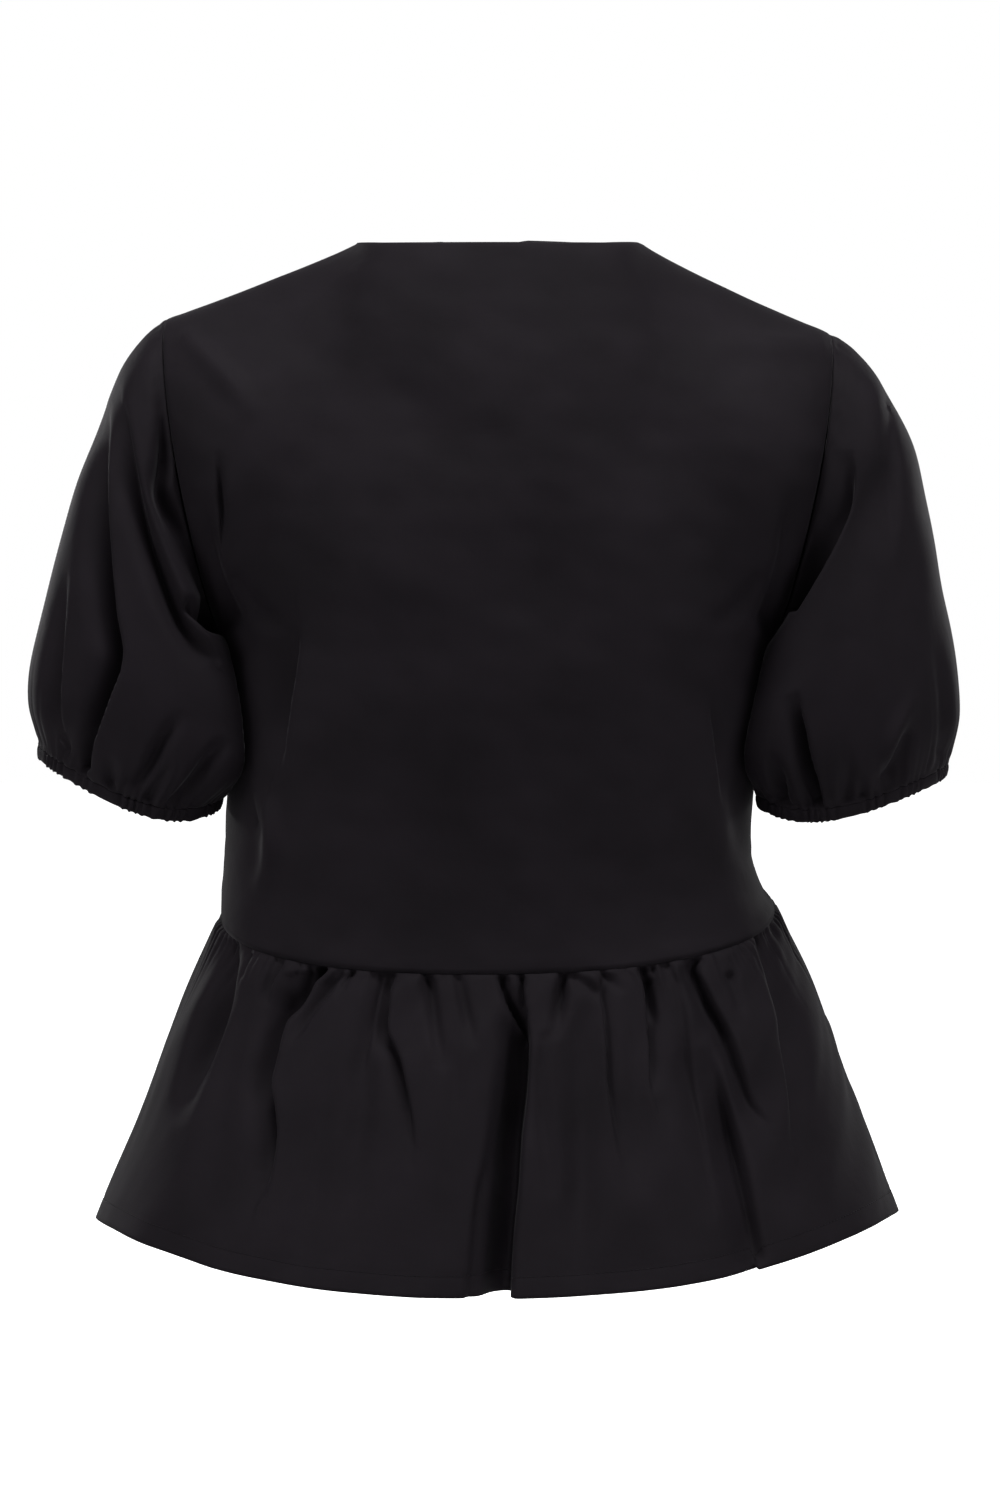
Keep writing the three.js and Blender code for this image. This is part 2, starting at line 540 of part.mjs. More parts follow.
// Columns of the peplum lie on the gathers, beside them, and between those that are far apart.
function peplumColumns(gathers) {
  const halfWidth = TORSO_SECTIONS.at(-1).halfWidth;
  const lines = gathers.flatMap((gather) => {
    const at = shareAcross(gather.seam, halfWidth);
    const beside = (Math.max(3.4, gather.width * 0.75) * 0.95) / WAIST_QUARTER;
    return gather.depth[1] > 5 ? [at - beside, at - beside / 2, at, at + beside / 2, at + beside] : [at - beside, at, at + beside];
  });
  const sorted = [-1, ...lines.sort((a, b) => a - b), 1];
  const spaced = sorted.filter((at, i) => i === 0 || i === sorted.length - 1 || (at - sorted[i - 1]) * WAIST_QUARTER > 1.1);
  return spaced.flatMap((at, i) => {
    if (i === spaced.length - 1) return [at];
    const gaps = Math.ceil(((spaced[i + 1] - at) * WAIST_QUARTER) / PEPLUM_WIDEST_COLUMN);
    return evenly(gaps, at, spaced[i + 1]).slice(0, -1);
  });
}

function makePeplum(face, gathers, material) {
  const columns = columnsOf(face, peplumColumns(gathers));
  const seamShift = new THREE.Vector3(0, (face.towards * SEAM_GAP) / 2, 0);
  const made = PEPLUM_ROW_SHARES.map((down) => columns.map((across) => peplumPoint(face, gathers, across, down)));
  const smoothPoints = made.map((row) => row.map(({ point }) => point.add(seamShift)));
  const normals = gridNormals(smoothPoints, false);
  const depths = made.map((row) => row.map(({ depth }) => depth));
  const level = normals.map((row) => row.map((normal) => flattened(normal, "z")));
  const outer = displaced(smoothPoints, level, depths);
  const inwards = gridNormals(outer, false);
  const inner = outer.map((row, j) =>
    row.map((p, i) => {
      let normal = inwards[j][i];
      if (Math.abs(columns[i]) === 1) normal = flattened(normal, "y");
      if (j === 0) normal = flattened(normal, "z");
      return p.clone().addScaledVector(normal, -CLOTH);
    }),
  );
  return wall(`peplum_${face.name}`, outer, inner, false, material);
}

// The neck facing: a strip turned to the inside, whose edge shows as a thin roll above the neckline.
// It lies against the walls of the two bodice panels, a seam's gap away.
function makeNeckFacing(panels, material) {
  const ROLL = 0.9;
  const DEPTH = 8;
  const FREE_EDGE = 1.2;
  const stations = panels.flatMap(({ columns, outer, inner }, panel) =>
    columns.flatMap((across, i) => {
      const onCorner = Math.abs(across) === NECK_SHARE;
      if (Math.abs(across) > NECK_SHARE || (onCorner && panel > 0)) return [];
      const [row, column] = onCorner ? [0, i + Math.sign(across)] : [1, i];
      const through = (a, b) => new THREE.Vector3().subVectors(inner[a][b], outer[a][b]);
      return [{ edge: outer[0][i], next: outer[row][column], atEdge: through(0, i), atNext: through(row, column) }];
    }),
  );
  const skin = (layers) =>
    [-ROLL, DEPTH].map((below) =>
      stations.map(({ edge, next, atEdge, atNext }) => {
        const share = below / edge.distanceTo(next);
        const through = new THREE.Vector3().lerpVectors(atEdge, atNext, Math.max(0, share));
        const hangs = below > 0 ? FREE_EDGE : 0;
        return new THREE.Vector3().lerpVectors(edge, next, share).addScaledVector(through, layers + hangs);
      }),
    );
  const under = 1 + (2 * SEAM_GAP) / CLOTH;
  return wall("neck_facing", skin(under), skin(under + 1), true, material);
}

function clothMaterial(lightness) {
  return new THREE.MeshStandardMaterial({
    color: new THREE.Color(lightness, lightness * 0.97, lightness * 1.08),
    roughness: 0.85,
    metalness: 0,
    side: THREE.DoubleSide,
  });
}

const bodiceCloth = clothMaterial(0.012);
const peplumCloth = clothMaterial(0.011);
const sleeveCloth = clothMaterial(0.012);
const elasticCloth = clothMaterial(0.01);

const back = makeBodice(BACK);
const front = makeBodice(FRONT);
const top = new THREE.Group();
top.name = "peplum_top";
top.add(
  wall("bodice_back", back.outer, back.inner, false, bodiceCloth),
  wall("bodice_front", front.outer, front.inner, false, bodiceCloth),
  makePeplum(BACK, BACK_GATHERS, peplumCloth),
  makePeplum(FRONT, FRONT_GATHERS, peplumCloth),
  makeSleeve("left", sleeveCloth),
  makeSleeve("right", sleeveCloth),
  makeCuff("left", elasticCloth),
  makeCuff("right", elasticCloth),
  makeNeckFacing([back, front], bodiceCloth),
);

export default top;
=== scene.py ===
import math

import bpy
import numpy as np
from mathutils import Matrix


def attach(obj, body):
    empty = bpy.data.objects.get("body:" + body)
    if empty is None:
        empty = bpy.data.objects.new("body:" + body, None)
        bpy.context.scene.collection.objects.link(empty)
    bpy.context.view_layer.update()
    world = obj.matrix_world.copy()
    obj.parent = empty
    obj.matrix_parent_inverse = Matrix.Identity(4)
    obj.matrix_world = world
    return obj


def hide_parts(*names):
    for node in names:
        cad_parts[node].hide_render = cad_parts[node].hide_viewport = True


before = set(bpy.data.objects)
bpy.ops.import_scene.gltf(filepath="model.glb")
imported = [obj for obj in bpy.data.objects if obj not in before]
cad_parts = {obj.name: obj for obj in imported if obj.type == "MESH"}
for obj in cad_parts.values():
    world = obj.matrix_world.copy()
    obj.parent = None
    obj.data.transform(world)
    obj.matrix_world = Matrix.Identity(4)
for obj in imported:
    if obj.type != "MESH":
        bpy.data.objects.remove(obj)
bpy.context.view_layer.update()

# The camera stands level behind the top, square to its back, at the photographer's distance.
# The picture takes in 900 mm from top to bottom at the side seams.
CAMERA_DISTANCE = 2.6
PICTURE_HEIGHT = 0.9
SENSOR_WIDTH = 36.0
PICTURE_CENTRE = (0.0012, -0.304)

camera_data = bpy.data.cameras.new("camera")
camera_data.sensor_width = SENSOR_WIDTH
camera_data.lens = SENSOR_WIDTH * CAMERA_DISTANCE / PICTURE_HEIGHT
camera = bpy.data.objects.new("camera", camera_data)
camera.location = (PICTURE_CENTRE[0], -CAMERA_DISTANCE, PICTURE_CENTRE[1])
camera.rotation_euler = (math.radians(90), 0, 0)
bpy.context.collection.objects.link(camera)
bpy.context.scene.camera = camera

# A white studio: a wide matt floor, an even white surround and soft lamps in front, above and behind.
# The lens sees the surround as plain white, but little of its light reaches the folds of the cloth.
FLOOR_Z = -0.8
FLOOR_HALF_SIZE = 60.0
SURROUND_LIGHT = 0.24
LAMPS = [
    # name, place, what it is aimed at, size in metres and power in watts
    ("left_lamp", (-2.2, -1.5, 0.9), (0, 0, -0.25), 1.2, 64),
    ("right_lamp", (2.2, -1.5, 0.8), (0, 0, -0.25), 1.2, 53),
    ("top_lamp", (0.1, -0.5, 1.6), (0, -0.05, -0.1), 0.9, 66),
    ("left_rim_lamp", (-1.5, 1.7, 0.3), (-0.2, 0, -0.2), 0.5, 17),
    ("right_rim_lamp", (1.5, 1.7, 0.3), (0.2, 0, -0.2), 0.5, 13),
]

bpy.context.scene.view_settings.view_transform = "Standard"


def shader_node(tree, node, inputs, operation=None):
    """Gives the inputs of a node, or of a new one of the kind named, their values or what they read."""
    if isinstance(node, str):
        node = tree.nodes.new(node)
    if operation:
        node.operation = operation
    for name, value in inputs.items():
        if isinstance(value, bpy.types.NodeSocket):
            tree.links.new(value, node.inputs[name])
        else:
            node.inputs[name].default_value = value
    return node


def white_to_the_lens(tree, lighting):
    """Gives a brightness that is full where the camera looks and weaker for the light cast on things."""
    seen = tree.nodes.new("ShaderNodeLightPath").outputs["Is Camera Ray"]
    level = shader_node(tree, "ShaderNodeMapRange", {"Value": seen, "To Min": lighting, "To Max": 1.0})
    return level.outputs["Result"]


floor_mesh = bpy.data.meshes.new("floor")
floor_sides = [(-1, -1), (1, -1), (1, 1), (-1, 1)]
floor_corners = [(FLOOR_HALF_SIZE * x, FLOOR_HALF_SIZE * y, FLOOR_Z) for x, y in floor_sides]
floor_mesh.from_pydata(floor_corners, [], [(0, 1, 2, 3)])
floor = bpy.data.objects.new("floor", floor_mesh)
bpy.context.collection.objects.link(floor)
floor_paint = bpy.data.materials.new("floor_paint")
floor_paint.use_nodes = True
paint = floor_paint.node_tree
shader_node(paint, paint.nodes["Principled BSDF"], {
    "Base Color": (0.8, 0.8, 0.8, 1), "Roughness": 0.9,
    "Emission Color": (1, 1, 1, 1), "Emission Strength": white_to_the_lens(paint, 0.0),
})
floor_mesh.materials.append(floor_paint)

surround = bpy.data.worlds.new("white_surround")
surround.use_nodes = True
backdrop = surround.node_tree
shader_node(backdrop, backdrop.nodes["Background"], {
    "Color": (1, 1, 1, 1), "Strength": white_to_the_lens(backdrop, SURROUND_LIGHT),
})
bpy.context.scene.world = surround

for name, place, target, size, power in LAMPS:
    light = bpy.data.lights.new(name, "AREA")
    light.shape = "DISK"
    light.size = size
    light.energy = power
    holder = bpy.data.objects.new(name, light)
    holder.location = place
    aim = np.array(target) - np.array(place)
    level = math.hypot(aim[0], aim[1])
    holder.rotation_euler = (math.atan2(level, -aim[2]), 0, math.atan2(aim[1], aim[0]) - math.pi / 2)
    bpy.context.collection.objects.link(holder)

# The back of the bodice: one piece of thin plain-woven black cloth, cut without darts or a centre
# seam, hanging from the shoulder seams and close at the waist. Sizes are in millimetres, as worn.
MM = 0.001
CLOTH = 0.7
SEAM_GAP = 0.3
NECK_HALF_WIDTH = 84
SHOULDER_HALF_WIDTH = 199
UNDERARM_Z = -236
SHOULDER_TIP_Z = {"left": -46, "right": -55}
WAIST_SIDE_Z = -399
WAIST_LEAN = 2.5
ROUNDNESS = 2.3
NECK_SHARE = 0.42
ARMHOLE_SLANT = 1.6
ROUND_EDGE = 0.9

BACK = dict(
    name="back", towards=-1, neck_depth=60, neck_drop=6, neck_curve=(1, 0.9, 1), armhole_depth=62,
    waist_rise=-34, hem_lift=16,
)
FRONT = dict(
    name="front", towards=1, neck_depth=86, neck_drop=96, neck_curve=(0.7, 1, 2), armhole_depth=58,
    waist_rise=24, hem_lift=10,
)

# Sections of the trunk from the underarm, at 0, down to the waist seam, at 1.
TORSO = np.array(
    [
        (0, 166, 111, 123, 0),
        (0.2, 162, 110, 125, -1),
        (0.5, 158, 103, 118, -4),
        (0.8, 158, 99, 109, -6),
        (0.93, 162, 101, 108, -4),
        (1, 166, 104, 109, 0),
    ],
    dtype=[(name, float) for name in ("at", "half_width", "back", "front", "aside")],
)


def mix(a, b, share):
    return a + (b - a) * share


def smooth(share):
    share = np.clip(share, 0, 1)
    return share**2 * (3 - 2 * share)


def signed_power(value, power):
    return np.sign(value) * np.abs(value) ** power


def unit(vectors):
    return vectors / np.maximum(np.linalg.norm(vectors, axis=-1, keepdims=True), 1e-9)


def points(x, y, z):
    return np.stack(np.broadcast_arrays(x, y, z), axis=-1).astype(float)


def read_curve(table, name, share):
    """Reads one column of a section table at a share of its length, on a smooth curve."""
    at, value = table["at"], table[name]
    slope = np.empty_like(value)
    slope[1:-1] = (value[2:] - value[:-2]) / (at[2:] - at[:-2])
    slope[0] = (value[1] - value[0]) / (at[1] - at[0])
    slope[-1] = (value[-1] - value[-2]) / (at[-1] - at[-2])
    i = np.clip(np.searchsorted(at, share, side="right") - 1, 0, len(at) - 2)
    span = at[i + 1] - at[i]
    t = np.clip((share - at[i]) / span, 0, 1)
    return (
        (2 * t**3 - 3 * t**2 + 1) * value[i]
        + (t**3 - 2 * t**2 + t) * span * slope[i]
        + (3 * t**2 - 2 * t**3) * value[i + 1]
        + (t**3 - t**2) * span * slope[i + 1]
    )


def oval(face, across, share, z, wider=0):
    """A point of a rounded oval section; across is -1 at the left side seam and 1 at the right."""
    angle = across * math.pi / 2
    half_width = read_curve(TORSO, "half_width", share) + wider
    depth = read_curve(TORSO, face["name"], share) + wider
    x = read_curve(TORSO, "aside", share) + half_width * signed_power(np.sin(angle), 2 / ROUNDNESS)
    return points(x, face["towards"] * depth * np.maximum(0, np.cos(angle)) ** (2 / ROUNDNESS), z)


def nearness(across):
    """1 at the centre of a face and 0 at its side seams."""
    return np.maximum(0, np.cos(across * math.pi / 2)) ** (2 / ROUNDNESS)


def waist_z(face, across):
    return WAIST_SIDE_Z + face["waist_rise"] * nearness(across) + WAIST_LEAN * np.sin(across * math.pi / 2)


def upper_edge(face, across):
    """The neckline in the middle of a panel and the shoulder seams beside it."""
    out = np.abs(across)
    angle = np.minimum(out / NECK_SHARE, 1) * math.pi / 2
    middle = np.maximum(0, np.cos(angle))
    curve_x, curve_y, curve_z = face["neck_curve"]
    neck = points(
        np.sign(across) * NECK_HALF_WIDTH * np.sin(angle) ** curve_x,
        face["towards"] * face["neck_depth"] * middle**curve_y,
        -face["neck_drop"] * middle**curve_z,
    )
    share = np.clip((out - NECK_SHARE) / (1 - NECK_SHARE), 0, 1)
    tip = np.where(across < 0, SHOULDER_TIP_Z["left"], SHOULDER_TIP_Z["right"])
    seam = points(np.sign(across) * mix(NECK_HALF_WIDTH, SHOULDER_HALF_WIDTH, share), 0, tip * share**0.92)
    return np.where((out <= NECK_SHARE)[..., None], neck, seam)


def bodice_surface(face, across, down):
    """A point of the bodice: down is 0 at the neck and shoulders, 1 at the underarm, 2 at the waist."""
    share = np.clip(down - 1, 0, 1)
    lower = oval(face, across, share, mix(UNDERARM_Z, waist_z(face, across), share))
    top = upper_edge(face, across)
    low = oval(face, across, 0, UNDERARM_Z)
    dropped = (1 - np.cos(math.pi * np.clip(down, 0, 1))) / 2
    out = np.abs(across)
    beside_neck = np.sqrt(1 - (1 - dropped) ** 2)
    reach = mix(1 - (1 - dropped) ** 2.2, beside_neck, smooth(out / NECK_SHARE))
    edge = mix(3, ROUND_EDGE, smooth((out - 0.5) / 0.5))
    armhole = face["towards"] * face["armhole_depth"] * np.sin(math.pi * np.clip(down, 0, 1)) ** edge
    slant = mix(0.8, ARMHOLE_SLANT, smooth((out - NECK_SHARE) / (1 - NECK_SHARE)))
    upper = points(
        mix(top[..., 0], low[..., 0], dropped**slant),
        mix(top[..., 1], low[..., 1], reach) + armhole * smooth((out - 0.3) / 0.7),
        mix(top[..., 2], low[..., 2], dropped),
    )
    return np.where((down >= 1)[..., None], lower, upper)


def grid_normals(grid, wraps=False):
    """Outward normals of a grid of points, from the neighbours of each."""
    if wraps:
        across = np.roll(grid, -1, axis=1) - np.roll(grid, 1, axis=1)
    else:
        across = np.gradient(grid, axis=1)
    return unit(np.cross(np.gradient(grid, axis=0), across))


def lengths_along(grid, axis):
    """How far each point lies from the first row or column, along the cloth."""
    steps = np.linalg.norm(np.diff(grid, axis=axis), axis=-1)
    start = np.zeros_like(np.take(steps, [0], axis=axis))
    return np.concatenate([start, np.cumsum(steps, axis=axis)], axis=axis)


def read_column(lengths, values, spots):
    """Reads the places or directions along one column of the cloth at the lengths given."""
    return np.stack([np.interp(spots, lengths, values[:, axis]) for axis in range(3)], axis=-1)


# The two sides of a fold, inner or left one first, for each steepness: how wide each is as a share of
# the half width. Steep is 1 where the outer or right-hand side falls away sharply, -1 where the other
# one does, and 2 for a fold with two sharp sides and a flat floor.
FOLD_SIDES = {0: (0.9, 0.9), 1: (1.3, 0.38), -1: (0.38, 1.3), 2: (1.0, 1.0)}
LIP_PLACE = 0.6
LIP_REACH = (0.42, 1.1)
LIP_LEAN = 0.62


def folded(creases, x, z):
    """How deep the folds are at each point, and how far their lips lean over, outwards or to the right.

    A fold is a trough with low swells beside it. Where one side is sharp, its lip leans over the trough.
    Each is given as its half width, its steepness, and the places it runs through: across, up and how
    deep it is there. A negative depth stands out as a ridge.
    """
    STEPS_BETWEEN = 8
    FELT_WITHIN = 5
    total = np.zeros_like(x)
    leaning = np.zeros_like(x)
    for width, steep, *places in creases:
        last = len(places) - 1
        line = dict(zip(("across", "up", "deep"), np.array(places, float).T), at=np.arange(last + 1.0))
        t = np.linspace(0, last, STEPS_BETWEEN * last + 1)
        across, up, deep = (read_curve(line, name, t) for name in ("across", "up", "deep"))
        felt = FELT_WITHIN * width
        near = (x > across.min() - felt) & (x < across.max() + felt)
        near &= (z > up.min() - felt) & (z < up.max() + felt)
        step_x, step_z = np.diff(across), np.diff(up)
        from_x, from_z = x[near][:, None] - across[:-1], z[near][:, None] - up[:-1]
        share = np.clip((from_x * step_x + from_z * step_z) / (step_x**2 + step_z**2), 0, 1)
        off_x, off_z = from_x - share * step_x, from_z - share * step_z
        away = np.hypot(off_x, off_z)
        nearest = away.argmin(axis=1)
        pick = (np.arange(len(nearest)), nearest)
        outwards = step_x[nearest] * off_z[pick] > step_z[nearest] * off_x[pick]
        inner_side, outer_side = FOLD_SIDES[steep]
        ratio = away[pick] / (width * np.where(outwards, outer_side, inner_side))
        if steep == 2:
            profile = np.exp(-(ratio**4))
        else:
            profile = 1.08 * np.exp(-(ratio**2)) - 0.08 * np.exp(-((ratio / 2.4) ** 2))
        depth = mix(deep[nearest], deep[nearest + 1], share[pick])
        total[near] += depth * profile
        if abs(steep) == 1:
            beyond = away[pick] * np.where(outwards, 1, -1) * steep / width - LIP_PLACE
            reach = np.where(beyond < 0, *LIP_REACH)
            lean = np.clip(depth * 0.5, 0, LIP_LEAN * width)
            leaning[near] -= steep * lean * np.exp(-((beyond / reach) ** 2))
    return total, leaning


def leaned(grid, lean):
    """Slides points along the cloth, outwards or to the right by the amounts given."""
    along = unit(np.gradient(grid, axis=1))
    return grid + along * (along[..., 0] * lean)[..., None]


def soft_noise(u, v, size, seed):
    """A gentle uneven swell about one unit high, whose waves are about size millimetres long."""
    WAVES = 8
    rng = np.random.default_rng(seed)
    total = 0
    for _ in range(WAVES):
        angle, phase = rng.uniform(0, 2 * math.pi, 2)
        wave = 2 * math.pi / (size * rng.uniform(0.7, 1.6))
        total = total + np.sin(wave * (u * math.cos(angle) + v * math.sin(angle)) + phase)
    return total / 4


# Turnings: how far their rows lie from the seam, two short kinds as shares of a full one, and the
# lean of those that lie under a neighbour.
TURNING_STEPS = (0.5, 1.4, 3.0)
SHORT_TURNING = 0.25
SCANT_TURNING = 0.12
UNDER_NEIGHBOUR = -0.6


def turned_in(grid, top=0, bottom=0, sides=0, lean=0.15, upright=False, wraps=False):
    """Adds the seam turnings of a panel, which go in towards the wearer beside those of its neighbour.

    Top, bottom and sides are shares of a full turning, which can differ along an edge. A negative lean
    lays the turnings under the neighbour. Upright turnings go level in and straight up or down, whatever
    the slope of the gathers at the seam.
    """
    rows, columns = grid.shape[:2]
    into = -grid_normals(grid, wraps)
    down, across = (unit(np.gradient(grid, axis=axis)) for axis in (0, 1))
    if upright:
        into = unit(into * (1, 1, 0))
        down[...] = (0, 0, -1)

    def extended(count, first, last):
        before = TURNING_STEPS[::-1] if first else ()
        after = TURNING_STEPS if last else ()
        index = [0] * len(before) + list(range(count)) + [count - 1] * len(after)
        start = list(before) + [0.0] * (count + len(after))
        end = [0.0] * (len(before) + count) + list(after)
        return np.array(index), np.array(start), np.array(end)

    row, row_start, row_end = extended(rows, np.any(top), np.any(bottom))
    column, column_start, column_end = extended(columns, np.any(sides), np.any(sides))
    top = (np.zeros(columns) + top)[column]
    bottom = (np.zeros(columns) + bottom)[column]
    above, below = row_start[:, None] * top, row_end[:, None] * bottom
    sides = (np.zeros(rows) + sides)[row][:, None]
    beside = sides * (column_start + column_end)
    pick = np.ix_(row, column)
    return (
        grid[pick]
        + into[pick] * np.hypot(above + below, beside)[..., None]
        + down[pick] * (lean * (above - below))[..., None]
        + across[pick] * (lean * sides * (column_start - column_end))[..., None]
    )


def finished_piece(name, corners, faces, uv_name, uv, material):
    """Makes an object of points and a map in millimetres, which rides on the body of the top."""
    mesh = bpy.data.meshes.new(name)
    mesh.from_pydata((corners * MM).tolist(), [], faces)
    mesh.uv_layers.new(name=uv_name).data.foreach_set("uv", (uv * MM).ravel())
    mesh.shade_smooth()
    mesh.materials.append(material)
    piece = bpy.data.objects.new(name, mesh)
    bpy.context.collection.objects.link(piece)
    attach(piece, "root")
    return piece


def sewn_piece(name, node, grid, material, wraps=False, thickness=CLOTH):
    """Makes a panel of cloth in place of a solid: two skins on a grid of points and the rims between."""
    rows, columns = grid.shape[:2]
    inner = grid - grid_normals(grid, wraps) * thickness
    corners = np.concatenate([grid.reshape(-1, 3), inner.reshape(-1, 3)])
    end, last = rows - 1, columns if wraps else columns - 1
    down, along = np.arange(end), np.arange(last)
    row, column = (place.ravel() for place in np.meshgrid(down, along, indexing="ij"))

    def quads(*corner_places):
        return np.stack([np.stack(np.broadcast_arrays(*place), axis=-1) for place in corner_places], axis=1)

    # The corners of each face: the skin, 0 outside and 1 inside, and the row and column of the grid.
    parts = [
        quads((0, row, column), (0, row + 1, column), (0, row + 1, column + 1), (0, row, column + 1)),
        quads((1, row, column), (1, row, column + 1), (1, row + 1, column + 1), (1, row + 1, column)),
        quads((1, 0, along), (0, 0, along), (0, 0, along + 1), (1, 0, along + 1)),
        quads((0, end, along), (1, end, along), (1, end, along + 1), (0, end, along + 1)),
    ]
    if not wraps:
        parts += [
            quads((0, down, 0), (1, down, 0), (1, down + 1, 0), (0, down + 1, 0)),
            quads((1, down, last), (0, down, last), (0, down + 1, last), (1, down + 1, last)),
        ]
    skin, row, column = np.moveaxis(np.concatenate(parts), -1, 0)
    faces = (skin * rows + row) * columns + column % columns

    middle_row = grid[rows // 2]
    round_trip = np.concatenate([middle_row, middle_row[:1]]) if wraps else middle_row
    u = lengths_along(round_trip[None], 1)[0]
    v = lengths_along(grid[:, columns // 2][:, None], 0)[:, 0]
    uv = np.stack([u[column], v[row]], axis=-1)
    piece = finished_piece(name, corners, faces.tolist(), "cloth", uv, material)
    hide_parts(node)
    return piece


def node_group(name, inputs, outputs):
    """Starts a node group whose inputs and outputs are numbers, and gives it with its two end nodes."""
    group = bpy.data.node_groups.new(name, "ShaderNodeTree")
    for socket, value in inputs.items():
        made = group.interface.new_socket(socket, in_out="INPUT", socket_type="NodeSocketFloat")
        made.default_value = value
    for socket in outputs:
        group.interface.new_socket(socket, in_out="OUTPUT", socket_type="NodeSocketFloat")
    return group, group.nodes.new("NodeGroupInput").outputs, group.nodes.new("NodeGroupOutput")


def plain_weave():
    """Node group: the over-and-under of a plain weave, with uneven threads."""
    inputs = {"Thread Spacing": 0.0005, "Slub Length": 0.02, "Tone Range": 0.2}
    group, given, made = node_group("plain_weave", inputs, ("Tone", "Height"))

    def maths(operation, first, second=None):
        values = {0: first} if second is None else {0: first, 1: second}
        return shader_node(group, "ShaderNodeMath", values, operation).outputs["Value"]

    place = group.nodes.new("ShaderNodeUVMap").outputs["UV"]
    split = shader_node(group, "ShaderNodeSeparateXYZ", {"Vector": place}).outputs
    turns = [maths("DIVIDE", split[axis], given["Thread Spacing"]) for axis in ("X", "Y")]
    ridges = [maths("SINE", maths("MULTIPLY", turn, math.pi)) for turn in turns]
    weave = maths("MULTIPLY", *ridges)

    slubs = []
    for axis in (0, 1):
        lengthwise = maths("DIVIDE", split[axis], given["Slub Length"])
        thread_width = maths("MULTIPLY", given["Thread Spacing"], 1.6)
        crosswise = maths("DIVIDE", split[1 - axis], thread_width)
        stretched = shader_node(group, "ShaderNodeCombineXYZ", {0: lengthwise, 1: crosswise})
        noise_inputs = {"Vector": stretched.outputs["Vector"], "Scale": 1.0, "Detail": 2.0}
        noise = shader_node(group, "ShaderNodeTexNoise", noise_inputs)
        slubs.append(maths("SUBTRACT", noise.outputs["Fac"], 0.5))
    slub = maths("ADD", *slubs)
    uneven = maths("MULTIPLY", maths("ADD", maths("MULTIPLY", weave, 0.25), slub), given["Tone Range"])
    shader_node(group, made, {
        "Height": maths("ADD", maths("MULTIPLY", weave, 0.5), slub),
        "Tone": maths("ADD", uneven, 1.0),
    })
    return group


def crumple():
    """Node group: the faint random rumpling left in pressed cloth, a few millimetres across."""
    group, given, made = node_group("crumple", {"Size": 0.01}, ("Height", "Mottle"))
    place = group.nodes.new("ShaderNodeTexCoord").outputs["Object"]
    spread = shader_node(group, "ShaderNodeCombineXYZ", {axis: given["Size"] for axis in range(3)})
    scaled = shader_node(group, "ShaderNodeVectorMath", {0: place, 1: spread.outputs["Vector"]}, "DIVIDE")
    for name, scale, detail in (("Height", 1.0, 3.0), ("Mottle", 0.22, 4.0)):
        noise_inputs = {"Vector": scaled.outputs["Vector"], "Scale": scale, "Detail": detail}
        noise = shader_node(group, "ShaderNodeTexNoise", noise_inputs)
        shader_node(group, made, {name: noise.outputs["Fac"]})
    return group


WEAVE = plain_weave()
CRUMPLE = crumple()


def cloth_material(name, colour, roughness, sheen, thread_spacing):
    """Black dyed cloth: a nearly matt weave whose surface fibres catch the light at the edges."""
    material = bpy.data.materials.new(name)
    material.use_nodes = True
    tree = material.node_tree
    weave, rumple = (tree.nodes.new("ShaderNodeGroup") for _ in range(2))
    weave.node_tree, rumple.node_tree = WEAVE, CRUMPLE
    weave.inputs["Thread Spacing"].default_value = thread_spacing
    rumple.inputs["Size"].default_value = 0.012

    mottle = shader_node(tree, "ShaderNodeMapRange", {
        "Value": rumple.outputs["Mottle"],
        "From Min": 0.3, "From Max": 0.7, "To Min": 0.84, "To Max": 1.2,
    })
    both_tones = {0: weave.outputs["Tone"], 1: mottle.outputs["Result"]}
    tone = shader_node(tree, "ShaderNodeMath", both_tones, "MULTIPLY")
    dye = shader_node(tree, "ShaderNodeVectorMath", {0: colour, "Scale": tone.outputs["Value"]}, "SCALE")
    rumple_bump = shader_node(tree, "ShaderNodeBump", {
        "Height": rumple.outputs["Height"], "Strength": 0.5, "Distance": 0.0006,
    })
    weave_bump = shader_node(tree, "ShaderNodeBump", {
        "Height": weave.outputs["Height"], "Strength": 0.35, "Distance": 0.00008,
        "Normal": rumple_bump.outputs["Normal"],
    })
    shader_node(tree, tree.nodes["Principled BSDF"], {
        "Base Color": dye.outputs["Vector"], "Normal": weave_bump.outputs["Normal"],
        "Roughness": roughness, "Specular IOR Level": 0.04,
        "Sheen Weight": sheen, "Sheen Roughness": 0.3, "Sheen Tint": (0.96, 0.94, 1.0, 1),
    })
    return material


BLACK_DYE = (0.0042, 0.0033, 0.0044)
BODICE_CLOTH = cloth_material("bodice_cloth", BLACK_DYE, roughness=0.75, sheen=0.026, thread_spacing=0.00042)

